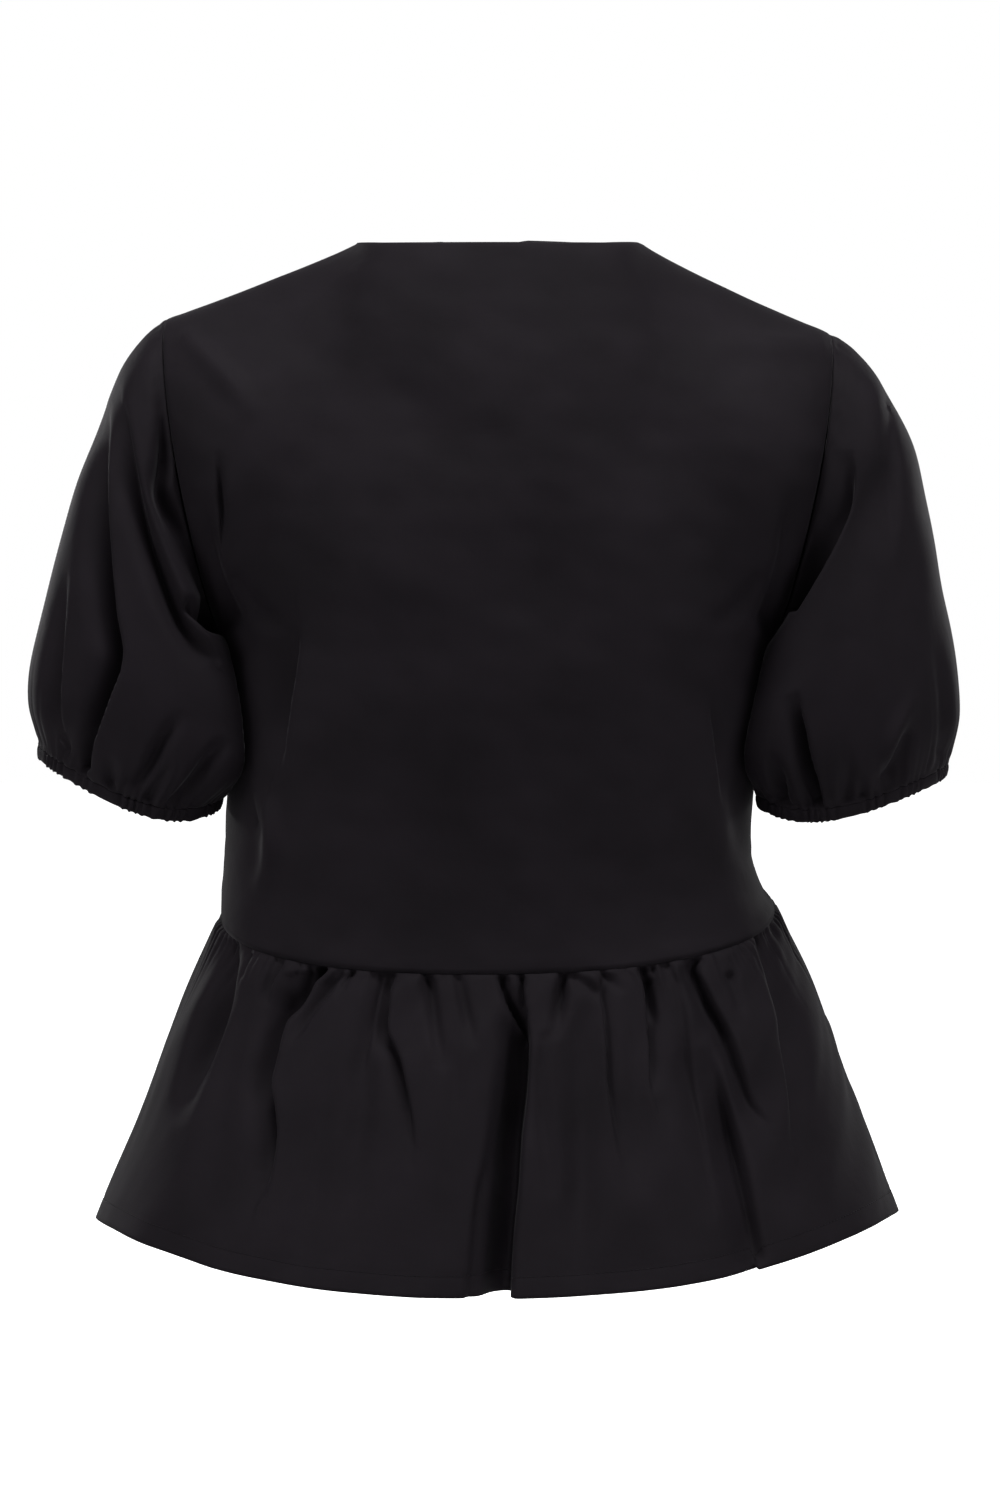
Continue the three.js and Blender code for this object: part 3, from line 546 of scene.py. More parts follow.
BACK_CREASES = [
    (8, 0, (-182, -62, -2.8), (-156, -91, -4.2), (-140, -112, 0)),
    (10, 0, (190, -66, -1.4), (160, -66, -3.5), (122, -62, 0)),
    (26, 0, (-80, -60, 0), (-50, -111, 3.6), (13, -144, 0)),
    (34, 0, (-84, -160, -4.2), (-66, -205, -4.2)),
    (34, 0, (84, -180, -4.2), (104, -228, -4.2)),
    (26, 0, (27, -148, 0), (27, -210, 4.2), (27, -275, 0)),
    (26, 0, (27, -320, 0), (30, -372, -3.6), (27, -420, -1.4)),
    (4, -1, (-163, -130, 0), (-164, -158, 5.6), (-161, -188, 1.4)),
    (7, 0, (-176, -152, 0), (-168, -196, 7), (-156, -226, 5.6)),
    (7, 0, (174, -150, 0), (168, -192, 7), (158, -226, 5.6)),
    (13, 1, (-118, -230, 1), (-121, -258, 10), (-125, -286, 11), (-131, -316, 2)),
    (6, 0, (-140, -322, 0), (-132, -348, -5.6), (-134, -370, -4.2), (-143, -390, 0)),
    (3, 0, (-146, -330, 1.4), (-143, -346, 2.8)),
    (6, -1, (125, -272, 0), (128, -302, 5.6), (134, -338, 0)),
    (8, 0, (146, -290, 0), (141, -330, 4.2), (146, -376, 0)),
    (6, 0, (-152, -206, 2.8), (-136, -226, 2.8), (-116, -236, 0)),
    (6, 0, (152, -206, 2.8), (136, -224, 2.8), (118, -232, 0)),
    (22, 0, (-60, -318, 0), (-34, -352, 2.2), (-20, -392, 0)),
]


def panel_shares(count, crowd=0.3):
    """Steps from one side of a panel to the other, closer together beside the seams."""
    t = np.linspace(-1, 1, count)
    return t * (1 + crowd * (1 - t**2))


def row_shares(count, crowd=0.3):
    return (panel_shares(count, crowd) + 1) / 2


def seam_dip(distance, depth=0.55, width=1.3):
    """The narrow groove where cloth goes down into a seam."""
    return depth * np.exp(-((distance / width) ** 2))


def eased(grid, across):
    """Eases the cloth below the corner where the neckline meets the shoulder seam."""
    PASSES = 60
    away = lengths_along(grid, 0)
    corner = np.exp(-(((np.abs(across) - NECK_SHARE) / 0.16) ** 2))
    weight = (corner * smooth(away / 18) * smooth((away[-1:] - away) / 60))[:, 1:-1, None] * 0.5
    grid = grid.copy()
    for _ in range(PASSES):
        middle = (grid[:, 2:] + grid[:, :-2]) / 2
        grid[:, 1:-1] += weight * (middle - grid[:, 1:-1])
    return grid


def evened(grid, rows):
    """Spaces a number of points evenly along each column of the cloth."""
    columns = zip(lengths_along(grid, 0).T, grid.swapaxes(0, 1))
    even = [read_column(away, column, np.linspace(0, away[-1], rows)) for away, column in columns]
    return np.stack(even, axis=1)


def margins(grid):
    """How far each point of a panel is from its first column, its top, its nearer side and its bottom."""
    sideways, lengthwise = lengths_along(grid, 1), lengths_along(grid, 0)
    from_side = np.minimum(sideways, sideways[:, -1:] - sideways)
    return sideways, lengthwise, from_side, lengthwise[-1:] - lengthwise


def eased_underarm(grid):
    """Rounds the cloth over the level of the underarms, where the trunk begins, but not at the seams."""
    PASSES = 50
    _, _, from_side, _ = margins(grid)
    level = np.exp(-(((grid[..., 2] - UNDERARM_Z) / 24) ** 2))
    weight = (0.5 * level * smooth(from_side / 14))[1:-1, :, None]
    for _ in range(PASSES):
        middle = (grid[2:] + grid[:-2]) / 2
        grid[1:-1] += weight * (middle - grid[1:-1])
    return grid


def kept_back(grid, face):
    """Stops a panel at the line where the back and front panels meet, so that neither crosses the seam."""
    kept = grid.copy()
    kept[..., 1] = face["towards"] * np.maximum(face["towards"] * grid[..., 1], 0)
    return kept


def bodice_panel(face, creases, columns, rows, seed):
    """A bodice panel as a grid of points, with its folds, soft swells and the puckers beside its seams."""
    across, down = np.meshgrid(panel_shares(columns), np.linspace(0, 2, 3 * rows))
    fine = bodice_surface(face, across, down)
    flat = eased_underarm(evened(fine, rows))
    across = across[:rows]
    if face is FRONT:
        flat = flat[:, ::-1]
        across = across[:, ::-1]
    flat = eased(flat, across)
    x, z = flat[..., 0], flat[..., 2]
    _, lengthwise, from_side, from_waist = margins(flat)
    on_shoulder = np.abs(across) >= NECK_SHARE
    held = smooth(from_side / 10) * smooth(from_waist / 6) * smooth(lengthwise / 14)
    deep, lean = folded(creases, x, z)
    depth = held * deep
    depth += held * 0.9 * soft_noise(x, z, 70, seed)
    depth += held * 0.35 * soft_noise(x, z, 24, seed + 1)
    pucker = soft_noise(x, z, 9, seed + 2)
    depth += 0.35 * pucker * smooth(from_waist / 2) * np.exp(-from_waist / 9)
    depth += 0.25 * pucker * smooth(from_side / 2) * np.exp(-from_side / 8)
    depth += seam_dip(from_side, 0.4) + seam_dip(from_waist)
    depth += np.where(on_shoulder, seam_dip(lengthwise), seam_dip(lengthwise, 0.3, 0.8))
    return kept_back(leaned(flat, held * lean) - grid_normals(flat) * depth[..., None], face)


def bodice_cut(grid, face):
    """Adds the turnings of a bodice panel.

    They are full along the shoulder and side seams and short at the waist. There are hardly any along
    the neckline and round the armholes, where those of the sleeve lie under the bodice.
    """
    shares = panel_shares(grid.shape[1])
    at_shoulders = mix(SCANT_TURNING, 1, smooth((np.abs(shares) - NECK_SHARE) / 0.06))
    at_sides = mix(SCANT_TURNING, 1, smooth((UNDERARM_Z - grid[:, 0, 2]) / 6))
    return kept_back(turned_in(grid, top=at_shoulders, bottom=SHORT_TURNING, sides=at_sides), face)


back_grid = bodice_panel(BACK, BACK_CREASES, columns=250, rows=132, seed=11)
bodice_back = sewn_piece("back_panel", "bodice_back", bodice_cut(back_grid, BACK), BODICE_CLOTH)

# The front of the bodice: one piece with a round neckline, joined to the back at the shoulder and
# side seams. The photograph doesn't show it, so it is plain, with folds like those of the back.
FRONT_CREASES = [
    (8, 1, (-152, -222, 2), (-118, -250, 5), (-82, -264, 0)),
    (8, 1, (152, -222, 2), (118, -246, 5), (84, -258, 0)),
    (9, -1, (-126, -280, 0), (-132, -336, 4), (-128, -388, 1)),
    (9, 1, (124, -276, 0), (134, -334, 4), (126, -388, 1)),
    (26, 0, (0, -150, 0), (2, -240, 5), (-6, -330, 0)),
    (5, 0, (-166, -190, 2), (-142, -208, 2), (-112, -212, 0)),
    (5, 0, (166, -194, 2), (144, -212, 2), (112, -212, 0)),
    (9, 0, (-60, -300, 0), (-66, -340, 2.4), (-56, -374, 0)),
    (9, 0, (58, -292, 0), (68, -336, 2.4), (60, -372, 0)),
    (14, 0, (-112, -92, 0), (-96, -140, 2), (-60, -176, 0)),
    (14, 0, (114, -96, 0), (98, -136, 2), (66, -172, 0)),
]
front_grid = bodice_panel(FRONT, FRONT_CREASES, columns=200, rows=104, seed=21)
bodice_front = sewn_piece("front_panel", "bodice_front", bodice_cut(front_grid, FRONT), BODICE_CLOTH)

# The neck facing: a narrow strip of the same cloth sewn round the neckline and turned inside. Its
# rolled edge stands about a millimetre above the back neckline, and its free edge lies within.
FACING_DEPTH = 9
FACING_ROWS = 7
FACING_GAP = 0.3
FACING_FALL = 0.8
FACING_PASSES = 8
ROLLS = [
    # stretches of the back neckline where the facing rolls up highest, across from the centre
    dict(low=-68, high=-26, rise=1.3),
    dict(low=10, high=76, rise=1.5),
]


def neck_columns(grid):
    """The columns of a panel that start on the neckline, with their inward directions and lengths."""
    on_neck = np.abs(panel_shares(grid.shape[1])) <= NECK_SHARE
    return grid[:, on_neck], -grid_normals(grid)[:, on_neck], lengths_along(grid, 0)[:, on_neck]


def facing_row(below, under):
    """A ring of the facing: below the neckline by its own amount at each column, and under the cloth."""
    ring, inward = [], []
    for (column, into, length), low in zip(neck_panels, np.split(below, [neck_panels[0][0].shape[1]])):
        for i, depth in enumerate(low):
            upwards = unit(column[0, i] - column[2, i])
            ring.append(read_column(length[:, i], column[:, i], max(depth, 0)) + upwards * max(-depth, 0))
            inward.append(read_column(length[:, i], into[:, i], max(depth, 4)))
    ring, inward = np.array(ring), np.array(inward)
    for _ in range(FACING_PASSES):
        inward = (np.roll(inward, 1, axis=0) + inward + np.roll(inward, -1, axis=0)) / 3
    return ring + unit(inward) * under


neck_panels = [neck_columns(grid) for grid in (back_grid, front_grid)]
edge = np.concatenate([column[0] for column, _, _ in neck_panels])
roll = np.full(len(edge), 0.5)
for stretch in ROLLS:
    inside = smooth((edge[:, 0] - stretch["low"]) / 8) * smooth((stretch["high"] - edge[:, 0]) / 8)
    roll += stretch["rise"] * inside * (edge[:, 1] < 0)
facing_rows = [
    facing_row(mix(-roll, FACING_DEPTH, share), CLOTH + SEAM_GAP + FACING_GAP + FACING_FALL * share)
    for share in np.linspace(0, 1, FACING_ROWS)
]
facing_grid = np.array(facing_rows)
neck_facing = sewn_piece("neck_facing_strip", "neck_facing", facing_grid, BODICE_CLOTH, wraps=True)

# The sleeves: one piece each, set in with a smooth cap and cut full below it, so that the cloth
# puffs out and is gathered into an elastic cuff. Long soft folds run down from cap to cuff.
SLEEVE_COLUMNS = ("at", "outer_x", "outer_z", "inner_x", "inner_z", "back", "front", "sag", "square")
SLEEVE_ROWS = {
    "right": [
        (0, 199, -55, 166, -236, 62, 58, 0, 0.9),
        (0.06, 212, -65, 165, -240, 67, 62, 0, 0.84),
        (0.14, 228, -83, 159, -244, 72, 66, 0, 0.76),
        (0.32, 248, -124, 151, -256, 78, 70, 3, 0.68),
        (0.52, 260, -178, 144, -270, 81, 72, 8, 0.66),
        (0.72, 270, -232, 136, -284, 80, 70, 13, 0.68),
        (0.88, 276, -280, 132, -304, 72, 62, 18, 0.72),
        (1, 269, -311, 147, -320, 57, 50, 20, 0.92),
    ],
    "left": [
        (0, 199, -46, 166, -236, 62, 58, 0, 0.9),
        (0.06, 210, -56, 165, -240, 67, 62, 0, 0.84),
        (0.14, 225, -78, 159, -244, 72, 66, 0, 0.76),
        (0.32, 244, -124, 151, -256, 78, 70, 3, 0.68),
        (0.52, 261, -178, 144, -270, 82, 72, 8, 0.66),
        (0.72, 275, -232, 136, -286, 82, 70, 13, 0.68),
        (0.88, 281, -274, 134, -306, 74, 62, 18, 0.72),
        (1, 275, -300, 158, -322, 57, 50, 21, 0.95),
    ],
}
SLEEVE_TYPE = [(name, float) for name in SLEEVE_COLUMNS]
SLEEVES = {side: np.array(rows, dtype=SLEEVE_TYPE) for side, rows in SLEEVE_ROWS.items()}
INNER_SAG = 1.1
SLEEVE_CLEARANCE = 3.2
CUFF_GATHERS = 56
GATHER_HEIGHT = 2.5
COARSE_GATHER_HEIGHT = 2.4

SLEEVE_BACK_CREASES = {
    "left": [
        (8, -1, (234, -100, 1), (232, -140, 9), (229, -184, 13), (224, -224, 15), (219, -252, 16),
         (227, -275, 15), (236, -299, 12), (240, -315, 6)),
        (7, -1, (221, -100, 1), (212, -146, 10), (203, -175, 14), (193, -200, 15), (183, -224, 15),
         (174, -240, 10.5), (165, -252, 3)),
        (5.5, -1, (190, -73, 4), (191, -101, 8), (193, -133, 11), (194, -151, 12), (189, -164, 10),
         (181, -181, 3)),
        (5, -1, (253, -196, 0), (256, -244, 5.4), (257, -270, 6.8), (257, -295, 4.1)),
        (4, 0, (250, -284, 1.4), (255, -305, 5.4)),
        (4.5, 0, (183, -281, 0), (195, -299, 6.8), (203, -313, 8.1), (211, -324, 5.4)),
        (4.5, 0, (158, -297, 0), (168, -309, 6.8), (179, -325, 8.1), (191, -336, 5.4)),
        (3, 0, (195, -317, 2.7), (205, -332, 5.4)),
        (3, 0, (224, -313, 1.4), (227, -326, 5.4)),
        (3, 0, (241, -303, 1.4), (243, -316, 5.4)),
        (5, 0, (176, -222, 9.5), (166, -230, 12.2)),
    ],
    "right": [
        (6, 1, (206, -128, 0), (205, -153, 8.1), (196, -176, 12.2), (186, -196, 13.5), (173, -218, 9.5)),
        (15, 0, (226, -132, 0), (214, -170, 6.8), (204, -234, 1.4)),
        (7, 1, (232, -105, 1.4), (232, -158, 4.1), (229, -196, 0)),
        (6, 1, (173, -270, 0), (179, -291, 10.8), (183, -309, 13.5), (189, -327, 12.2), (193, -343, 6.8)),
        (4.5, 0, (159, -305, 0), (165, -323, 8.1), (168, -337, 9.5), (178, -347, 5.4)),
        (5, 0, (242, -274, -1.4), (230, -298, -5.4), (227, -316, -1.4)),
        (6, 0, (239, -298, 4.1), (231, -320, 8.1)),
        (3, 0, (212, -320, 1.4), (215, -338, 5.4)),
        (5, 0, (257, -240, 0), (262, -270, 2.7), (262, -304, 2.7)),
        (5, 0, (203, -300, 0), (206, -322, 4.1), (204, -340, 4.1)),
    ],
}
SLEEVE_FRONT_CREASES = {
    "left": [
        (8, -1, (228, -105, 0), (226, -180, 8.4), (216, -230, 9.6), (208, -266, 1.2)),
        (7, -1, (204, -130, 0), (192, -185, 9.6), (170, -240, 3.6)),
        (5, 0, (214, -262, 0), (226, -290, 7.2), (235, -320, 4.8)),
        (4.5, 0, (176, -285, 0), (190, -310, 6), (200, -336, 4.8)),
        (5, -1, (250, -235, 0), (256, -270, 4.8), (256, -304, 3.6)),
        (4, 0, (160, -300, 0), (170, -318, 4.8), (176, -334, 3.6)),
    ],
    "right": [
        (9, 1, (230, -110, 0), (224, -180, 8.4), (212, -226, 8.4), (202, -256, 1.2)),
        (7, 1, (206, -126, 0), (196, -180, 9.6), (172, -238, 3.6)),
        (6, 1, (220, -260, 0), (222, -295, 8.4), (216, -332, 4.8)),
        (4.5, 0, (174, -280, 0), (186, -308, 6), (192, -338, 4.8)),
        (5, 1, (246, -240, 0), (254, -275, 6), (252, -318, 3.6)),
        (4, 0, (158, -298, 0), (164, -320, 4.8), (172, -340, 3.6)),
    ],
}


def clear_of_bodice(grid):
    """Moves points of a sleeve out of the space that the bodice takes up."""
    x, y, z = grid[..., 0], grid[..., 1], grid[..., 2]
    share = np.clip((UNDERARM_Z - z) / (UNDERARM_Z - WAIST_SIDE_Z), 0, 1)
    clear = SLEEVE_CLEARANCE * smooth((UNDERARM_Z - z) / 12)
    middle = read_curve(TORSO, "aside", share)
    half_width = read_curve(TORSO, "half_width", share) + clear
    depth = np.where(y < 0, read_curve(TORSO, "back", share), read_curve(TORSO, "front", share)) + clear
    reach = (np.abs(x - middle) / half_width) ** ROUNDNESS + (np.abs(y) / depth) ** ROUNDNESS
    outwards = np.where((z > UNDERARM_Z) | (reach >= 1), 1, np.maximum(reach, 1e-6) ** (-1 / ROUNDNESS))
    return points(middle + (x - middle) * outwards, y * outwards, z)


def sleeve_surface(side, around, down):
    """A point of a sleeve: around is 0 on the outer line, a quarter at the back, a half inside."""
    section = {name: read_curve(SLEEVES[side], name, down) for name in SLEEVE_COLUMNS[1:]}
    angle = around * 2 * math.pi
    inwards = (1 - np.cos(angle)) / 2
    turn = np.sin(angle)
    slant = mix(ARMHOLE_SLANT, 1, smooth(down / 0.3))
    depth = np.where(turn > 0, section["back"], section["front"])
    drop = section["sag"] * signed_power(turn, 1.3) * (1 + INNER_SAG * (inwards - 0.5))
    x = mix(section["outer_x"], section["inner_x"], inwards**slant)
    x = x + SEAM_GAP * (1 + inwards) * (1 - smooth(down / 0.3))
    grid = points(
        x * (-1 if side == "left" else 1),
        -depth * signed_power(turn, section["square"]),
        mix(section["outer_z"], section["inner_z"], inwards) - drop,
    )
    return clear_of_bodice(grid)


def gather_phase(share, count, seed):
    """The angle of a run of uneven gathers that closes on itself."""
    rng = np.random.default_rng(seed)
    uneven = sum(0.5 * np.sin(2 * math.pi * (turns * share + rng.uniform())) for turns in (3, 7, 13))
    return 2 * math.pi * (count * share + uneven)


def gather_wave(phase):
    """Round ridges with sharp valleys between them, from -0.5 to 0.5."""
    return np.abs(np.sin(phase / 2)) ** 0.8 - 0.5


def steps_around(side, count):
    steps = np.linspace(0, 1, count, endpoint=False)
    return steps if side == "left" else steps[::-1]


def sleeve_grid(side, columns, rows, seed):
    """A sleeve as a grid of points, with its folds, the gathers above the cuff and the armhole puckers."""
    around, down = np.meshgrid(steps_around(side, columns), row_shares(rows, 0.35))
    flat = sleeve_surface(side, around, down)
    normals = grid_normals(flat, wraps=True)
    _, lengthwise, _, from_cuff = margins(flat)
    turn = np.sin(around * 2 * math.pi)
    out, up = np.abs(flat[..., 0]), flat[..., 2]
    back_folds = folded(SLEEVE_BACK_CREASES[side], out, up)
    front_folds = folded(SLEEVE_FRONT_CREASES[side], out, up)
    deep, lean = (np.where(turn > 0, back, front) for back, front in zip(back_folds, front_folds))
    held = smooth(lengthwise / 5) * smooth(from_cuff / 3)
    lean = lean * held * smooth(np.abs(turn) / 0.35) * np.sign(flat[..., 0])
    depth = held * smooth(np.abs(turn) / 0.25) * deep
    depth += held * 1.1 * soft_noise(around * 400, lengthwise, 60, seed)
    wave = gather_wave(gather_phase(around, CUFF_GATHERS, seed))
    around_x, around_y = 60 * np.cos(2 * math.pi * around), 60 * np.sin(2 * math.pi * around)
    fade = 17 + 10 * soft_noise(around_x, around_y, 25, seed + 1)
    strength = np.clip(0.8 + 0.6 * soft_noise(around_x, around_y, 40, seed + 5), 0.2, 1.4)
    depth -= GATHER_HEIGHT * strength * wave * np.exp(-from_cuff / np.maximum(fade, 4))
    coarse = gather_wave(gather_phase(around, CUFF_GATHERS // 4, seed + 3))
    depth -= COARSE_GATHER_HEIGHT * coarse * smooth(from_cuff / 8) * np.exp(-from_cuff / 26)
    pucker = soft_noise(around * 500, lengthwise, 10, seed + 2)
    depth += 0.3 * pucker * smooth(lengthwise / 2) * np.exp(-lengthwise / 8)
    depth += seam_dip(lengthwise, 0.4) + seam_dip(from_cuff, 0.25, 0.9)
    return clear_of_bodice(leaned(flat, lean) - normals * depth[..., None])


SLEEVE_CLOTH = cloth_material("sleeve_cloth", BLACK_DYE, roughness=0.75, sheen=0.024, thread_spacing=0.00042)
cuff_rings = {}
for side, seed in (("left", 31), ("right", 41)):
    grid = sleeve_grid(side, columns=280, rows=96, seed=seed)
    cuff_rings[side] = grid[-1]
    cut = turned_in(grid, top=1, bottom=SHORT_TURNING, lean=UNDER_NEIGHBOUR, wraps=True)
    sleeve = sewn_piece(f"{side}_sleeve", f"sleeve_{side}", cut, SLEEVE_CLOTH, wraps=True)

# The cuffs: a narrow casing turned up at the end of each sleeve, with elastic inside it that draws
# the cloth into small ruffles. Its two layers of cloth part at the fold along the lower edge.
CUFF_HEIGHT = 8.2
CUFF_CLOTH_THICKNESS = 0.5
RUFFLE_HEIGHT = 1.3
CUFF_COLUMNS = 560
CUFF_PROFILE = [
    # share of the height, from inside the sleeve down the outside and then up the inside of the
    # casing, how far in, and how high the ruffles are
    (-0.3, 2.6, 0.0), (-0.04, 1.8, 0.0), (-0.01, 0.6, 0.0), (0.03, 0.0, 0.05), (0.12, -0.1, 0.2),
    (0.3, -0.1, 0.5), (0.5, 0.0, 0.7), (0.75, 0.2, 0.9), (0.93, 0.5, 1.0), (1.0, 0.9, 1.0),
    (0.95, 1.3, 1.0), (0.7, 1.7, 1.2), (0.35, 1.9, 0.9), (0.1, 2.0, 0.6),
]


def resampled(ring, count):
    """A closed ring of points with another number of columns."""
    at = np.arange(len(ring) + 1) / len(ring)
    closed = np.concatenate([ring, ring[:1]])
    spots = np.arange(count) / count
    return read_column(at, closed, spots)


def cuff_grid(side, seed):
    around = steps_around(side, CUFF_COLUMNS)
    ring = resampled(cuff_rings[side], CUFF_COLUMNS)
    outwards = ring - ring.mean(axis=0)
    axis = unit(np.cross(outwards[0], outwards[CUFF_COLUMNS // 4]))
    axis *= -np.sign(axis[2])
    outwards = unit(outwards - axis * (outwards @ axis)[:, None])
    phase = gather_phase(around, CUFF_GATHERS, seed)
    wave, lag = gather_wave(phase), np.sin(phase + 0.9) / 2
    rows = []
    for below, inwards, ruffle in CUFF_PROFILE:
        out = ruffle * RUFFLE_HEIGHT * mix(wave, lag, below) - inwards
        drop = SEAM_GAP + below * (CUFF_HEIGHT + 0.8 * lag)
        rows.append(ring + outwards * out[:, None] + axis * drop[:, None])
    return np.array(rows)


CUFF_CLOTH = cloth_material("cuff_cloth", BLACK_DYE, roughness=0.78, sheen=0.024, thread_spacing=0.00038)
for side, seed in (("left", 31), ("right", 41)):
    grid = cuff_grid(side, seed)
    name, node = f"{side}_cuff", f"cuff_{side}"
    cuff = sewn_piece(name, node, grid, CUFF_CLOTH, wraps=True, thickness=CUFF_CLOTH_THICKNESS)

# The peplum: two flared strips, back and front, joined at the side seams and gathered into the
# waist seam. The gathers open into folds, most of which run out before the hem, turned up 13 mm.
PEPLUM = np.array(
    [(0, 0, 0), (0.06, 5, 9.5), (0.3, 24, 52), (0.65, 48, 117), (1, 73, 182)],
    dtype=[(name, float) for name in ("at", "flare", "fall")],
)
HEM_TURNING = 13.0
WAIST_GATHERS = 31
WAIST_GATHER_HEIGHT = 3.8
FINE_GATHERS = 58
FINE_GATHER_HEIGHT = 1.5
RIPPLE_HEIGHT = 1.1
BACK_PEPLUM_CREASES = [
    (6.5, 0, (-158, -421, 6), (-163, -447, 15), (-172, -476, 15), (-185, -514, 2)),
    (3, 1, (-145, -424, 5.4), (-150, -437, 1.4)),
    (4, 1, (-127, -420, 5.4), (-126, -429, 5.4), (-133, -442, 4.1), (-137, -454, 0)),
    (9, 1, (-108, -425, 4.1), (-103, -433, 9.5), (-113, -449, 14.9), (-123, -460, 17.6),
     (-128, -481, 18.9), (-131, -497, 16.2), (-128, -511, 13.5), (-127, -530, 10.8), (-134, -555, 2.7)),
    (5, 1, (-90, -435, 5.4), (-94, -443, 8.1), (-105, -457, 6.8), (-116, -472, 1.4)),
    (3, 1, (-102, -425, 6.8), (-101, -432, 6.8), (-107, -443, 1.4)),
    (3, 1, (-83, -432, 5.4), (-87, -443, 1.4)),
    (4, 1, (-67, -432, 2.7), (-72, -458, 3.2), (-75, -473, 2.7), (-79, -487, 0.8)),
    (6, 1, (-61, -434, 6.8), (-62, -451, 10.8), (-63, -466, 10.8), (-58, -476, 8.1), (-54, -487, 8.1),
     (-50, -508, 5.4), (-48, -531, 1.4)),
    (4, 0, (-41, -432, 6.8), (-39, -444, 6.8), (-35, -468, 4.1), (-32, -482, 1.4)),
    (3.5, 0, (-23, -435, 4.1), (-18, -456, 4.1), (-14, -470, 1.4)),
    (6, 0, (-26, -470, 0), (-24, -495, 2.7), (-26, -536, 0)),
    (12, 1, (8, -440, 2), (16, -458, 8), (19, -480, 14), (18, -500, 18), (15, -525, 22), (13, -552, 24),
     (10, -580, 24), (8, -614, 24)),
    (9, 2, (10, -448, 1), (12, -475, 9), (11, -500, 13), (9, -525, 15), (7, -552, 15), (4, -580, 15),
     (1, -614, 15)),
    (3.5, -1, (0, -432, 6), (3, -446, 8), (9, -458, 8), (17, -470, 3)),
    (3, 1, (14, -432, 6), (20, -452, 7), (24, -468, 3)),
    (8, -1, (1, -479, 0), (-3, -516, 2.7), (-7, -539, 4.1), (-12, -559, 5.4), (-17, -612, 5.4)),
    (3.5, 0, (38, -432, 8.1), (37, -450, 8.1), (36, -465, 2.7)),
    (3, 0, (32, -468, 2.7), (31, -516, 3.4), (33, -553, 1.4)),
    (11, 0, (48, -446, 2), (49, -490, 8), (47, -547, 8), (46, -592, 3)),
    (12, 0, (-148, -450, 2), (-158, -500, 5), (-168, -560, 1)),
    (13, 0, (-98, -470, 1), (-104, -530, 5), (-112, -590, 2)),
    (10, 0, (-74, -440, 2), (-78, -500, 6), (-84, -570, 1)),
    (9, 1, (104, -440, 2), (112, -490, 6), (122, -560, 1)),
    (9, 0, (76, -436, 2), (78, -480, 6), (80, -548, 1)),
    (4, 0, (42, -432, 4.1), (53, -442, 4.1), (58, -447, 1.4)),
    (6, -1, (60, -438, 4.1), (62, -470, 6.8), (63, -497, 6.8), (70, -533, 1.4)),
    (3, 0, (61, -433, 4.1), (69, -441, 1.4)),
    (8, -1, (84, -432, 6.8), (86, -457, 10.8), (88, -485, 8.1), (90, -501, 1.4)),
    (3, 0, (89, -439, 5.4), (90, -453, 5.4), (92, -460, 1.4)),
    (3, 0, (98, -428, 4.1), (100, -442, 0)),
    (6, 1, (117, -427, 6.8), (118, -434, 10.8), (126, -451, 12.2), (134, -466, 10.8), (143, -488, 9.5),
     (150, -507, 5.4), (158, -520, 1.4)),
    (12, 1, (121, -473, 0), (129, -497, 8.1), (139, -525, 13.5), (147, -569, 12.2), (149, -590, 8.1)),
    (3, 0, (136, -436, 4.1), (141, -453, 1.4)),
    (8, -1, (151, -407, 4.1), (157, -426, 6.8), (160, -438, 8.1), (164, -458, 8.1), (169, -479, 6.8),
     (171, -501, 5.4), (172, -531, 1.4)),
    (2.5, 0, (150, -405, 5.4), (154, -418, 1.4)),
]


def peplum_surface(face, across, down):
    """A point of the peplum: across as on the bodice, down from 0 at the waist to 1 at the hem."""
    flare = read_curve(PEPLUM, "flare", down)
    lift = face["hem_lift"] * np.sin(0.9 * math.pi * nearness(across)) * down
    z = waist_z(face, across) - SEAM_GAP - read_curve(PEPLUM, "fall", down) + lift
    return oval(face, across, np.ones_like(across), z, flare)


def hanging_gather(face, seam, hem, depths, width, steep):
    """A fold that hangs straight from a place on the waist seam to one at the hem."""
    waist, flare = TORSO[-1], PEPLUM[-1]["flare"]
    ends = []
    for x, half_width, down in ((seam, waist["half_width"], 0.0), (hem, waist["half_width"] + flare, 1.0)):
        across = np.sign(x) * math.asin((abs(x) / half_width) ** (ROUNDNESS / 2)) * 2 / math.pi
        ends.append(peplum_surface(face, np.array(across), np.array(down))[[0, 2]])
    places = [(*mix(*ends, share), depth) for share, depth in zip((0, 0.3, 0.65, 1), depths)]
    return width, steep, *places


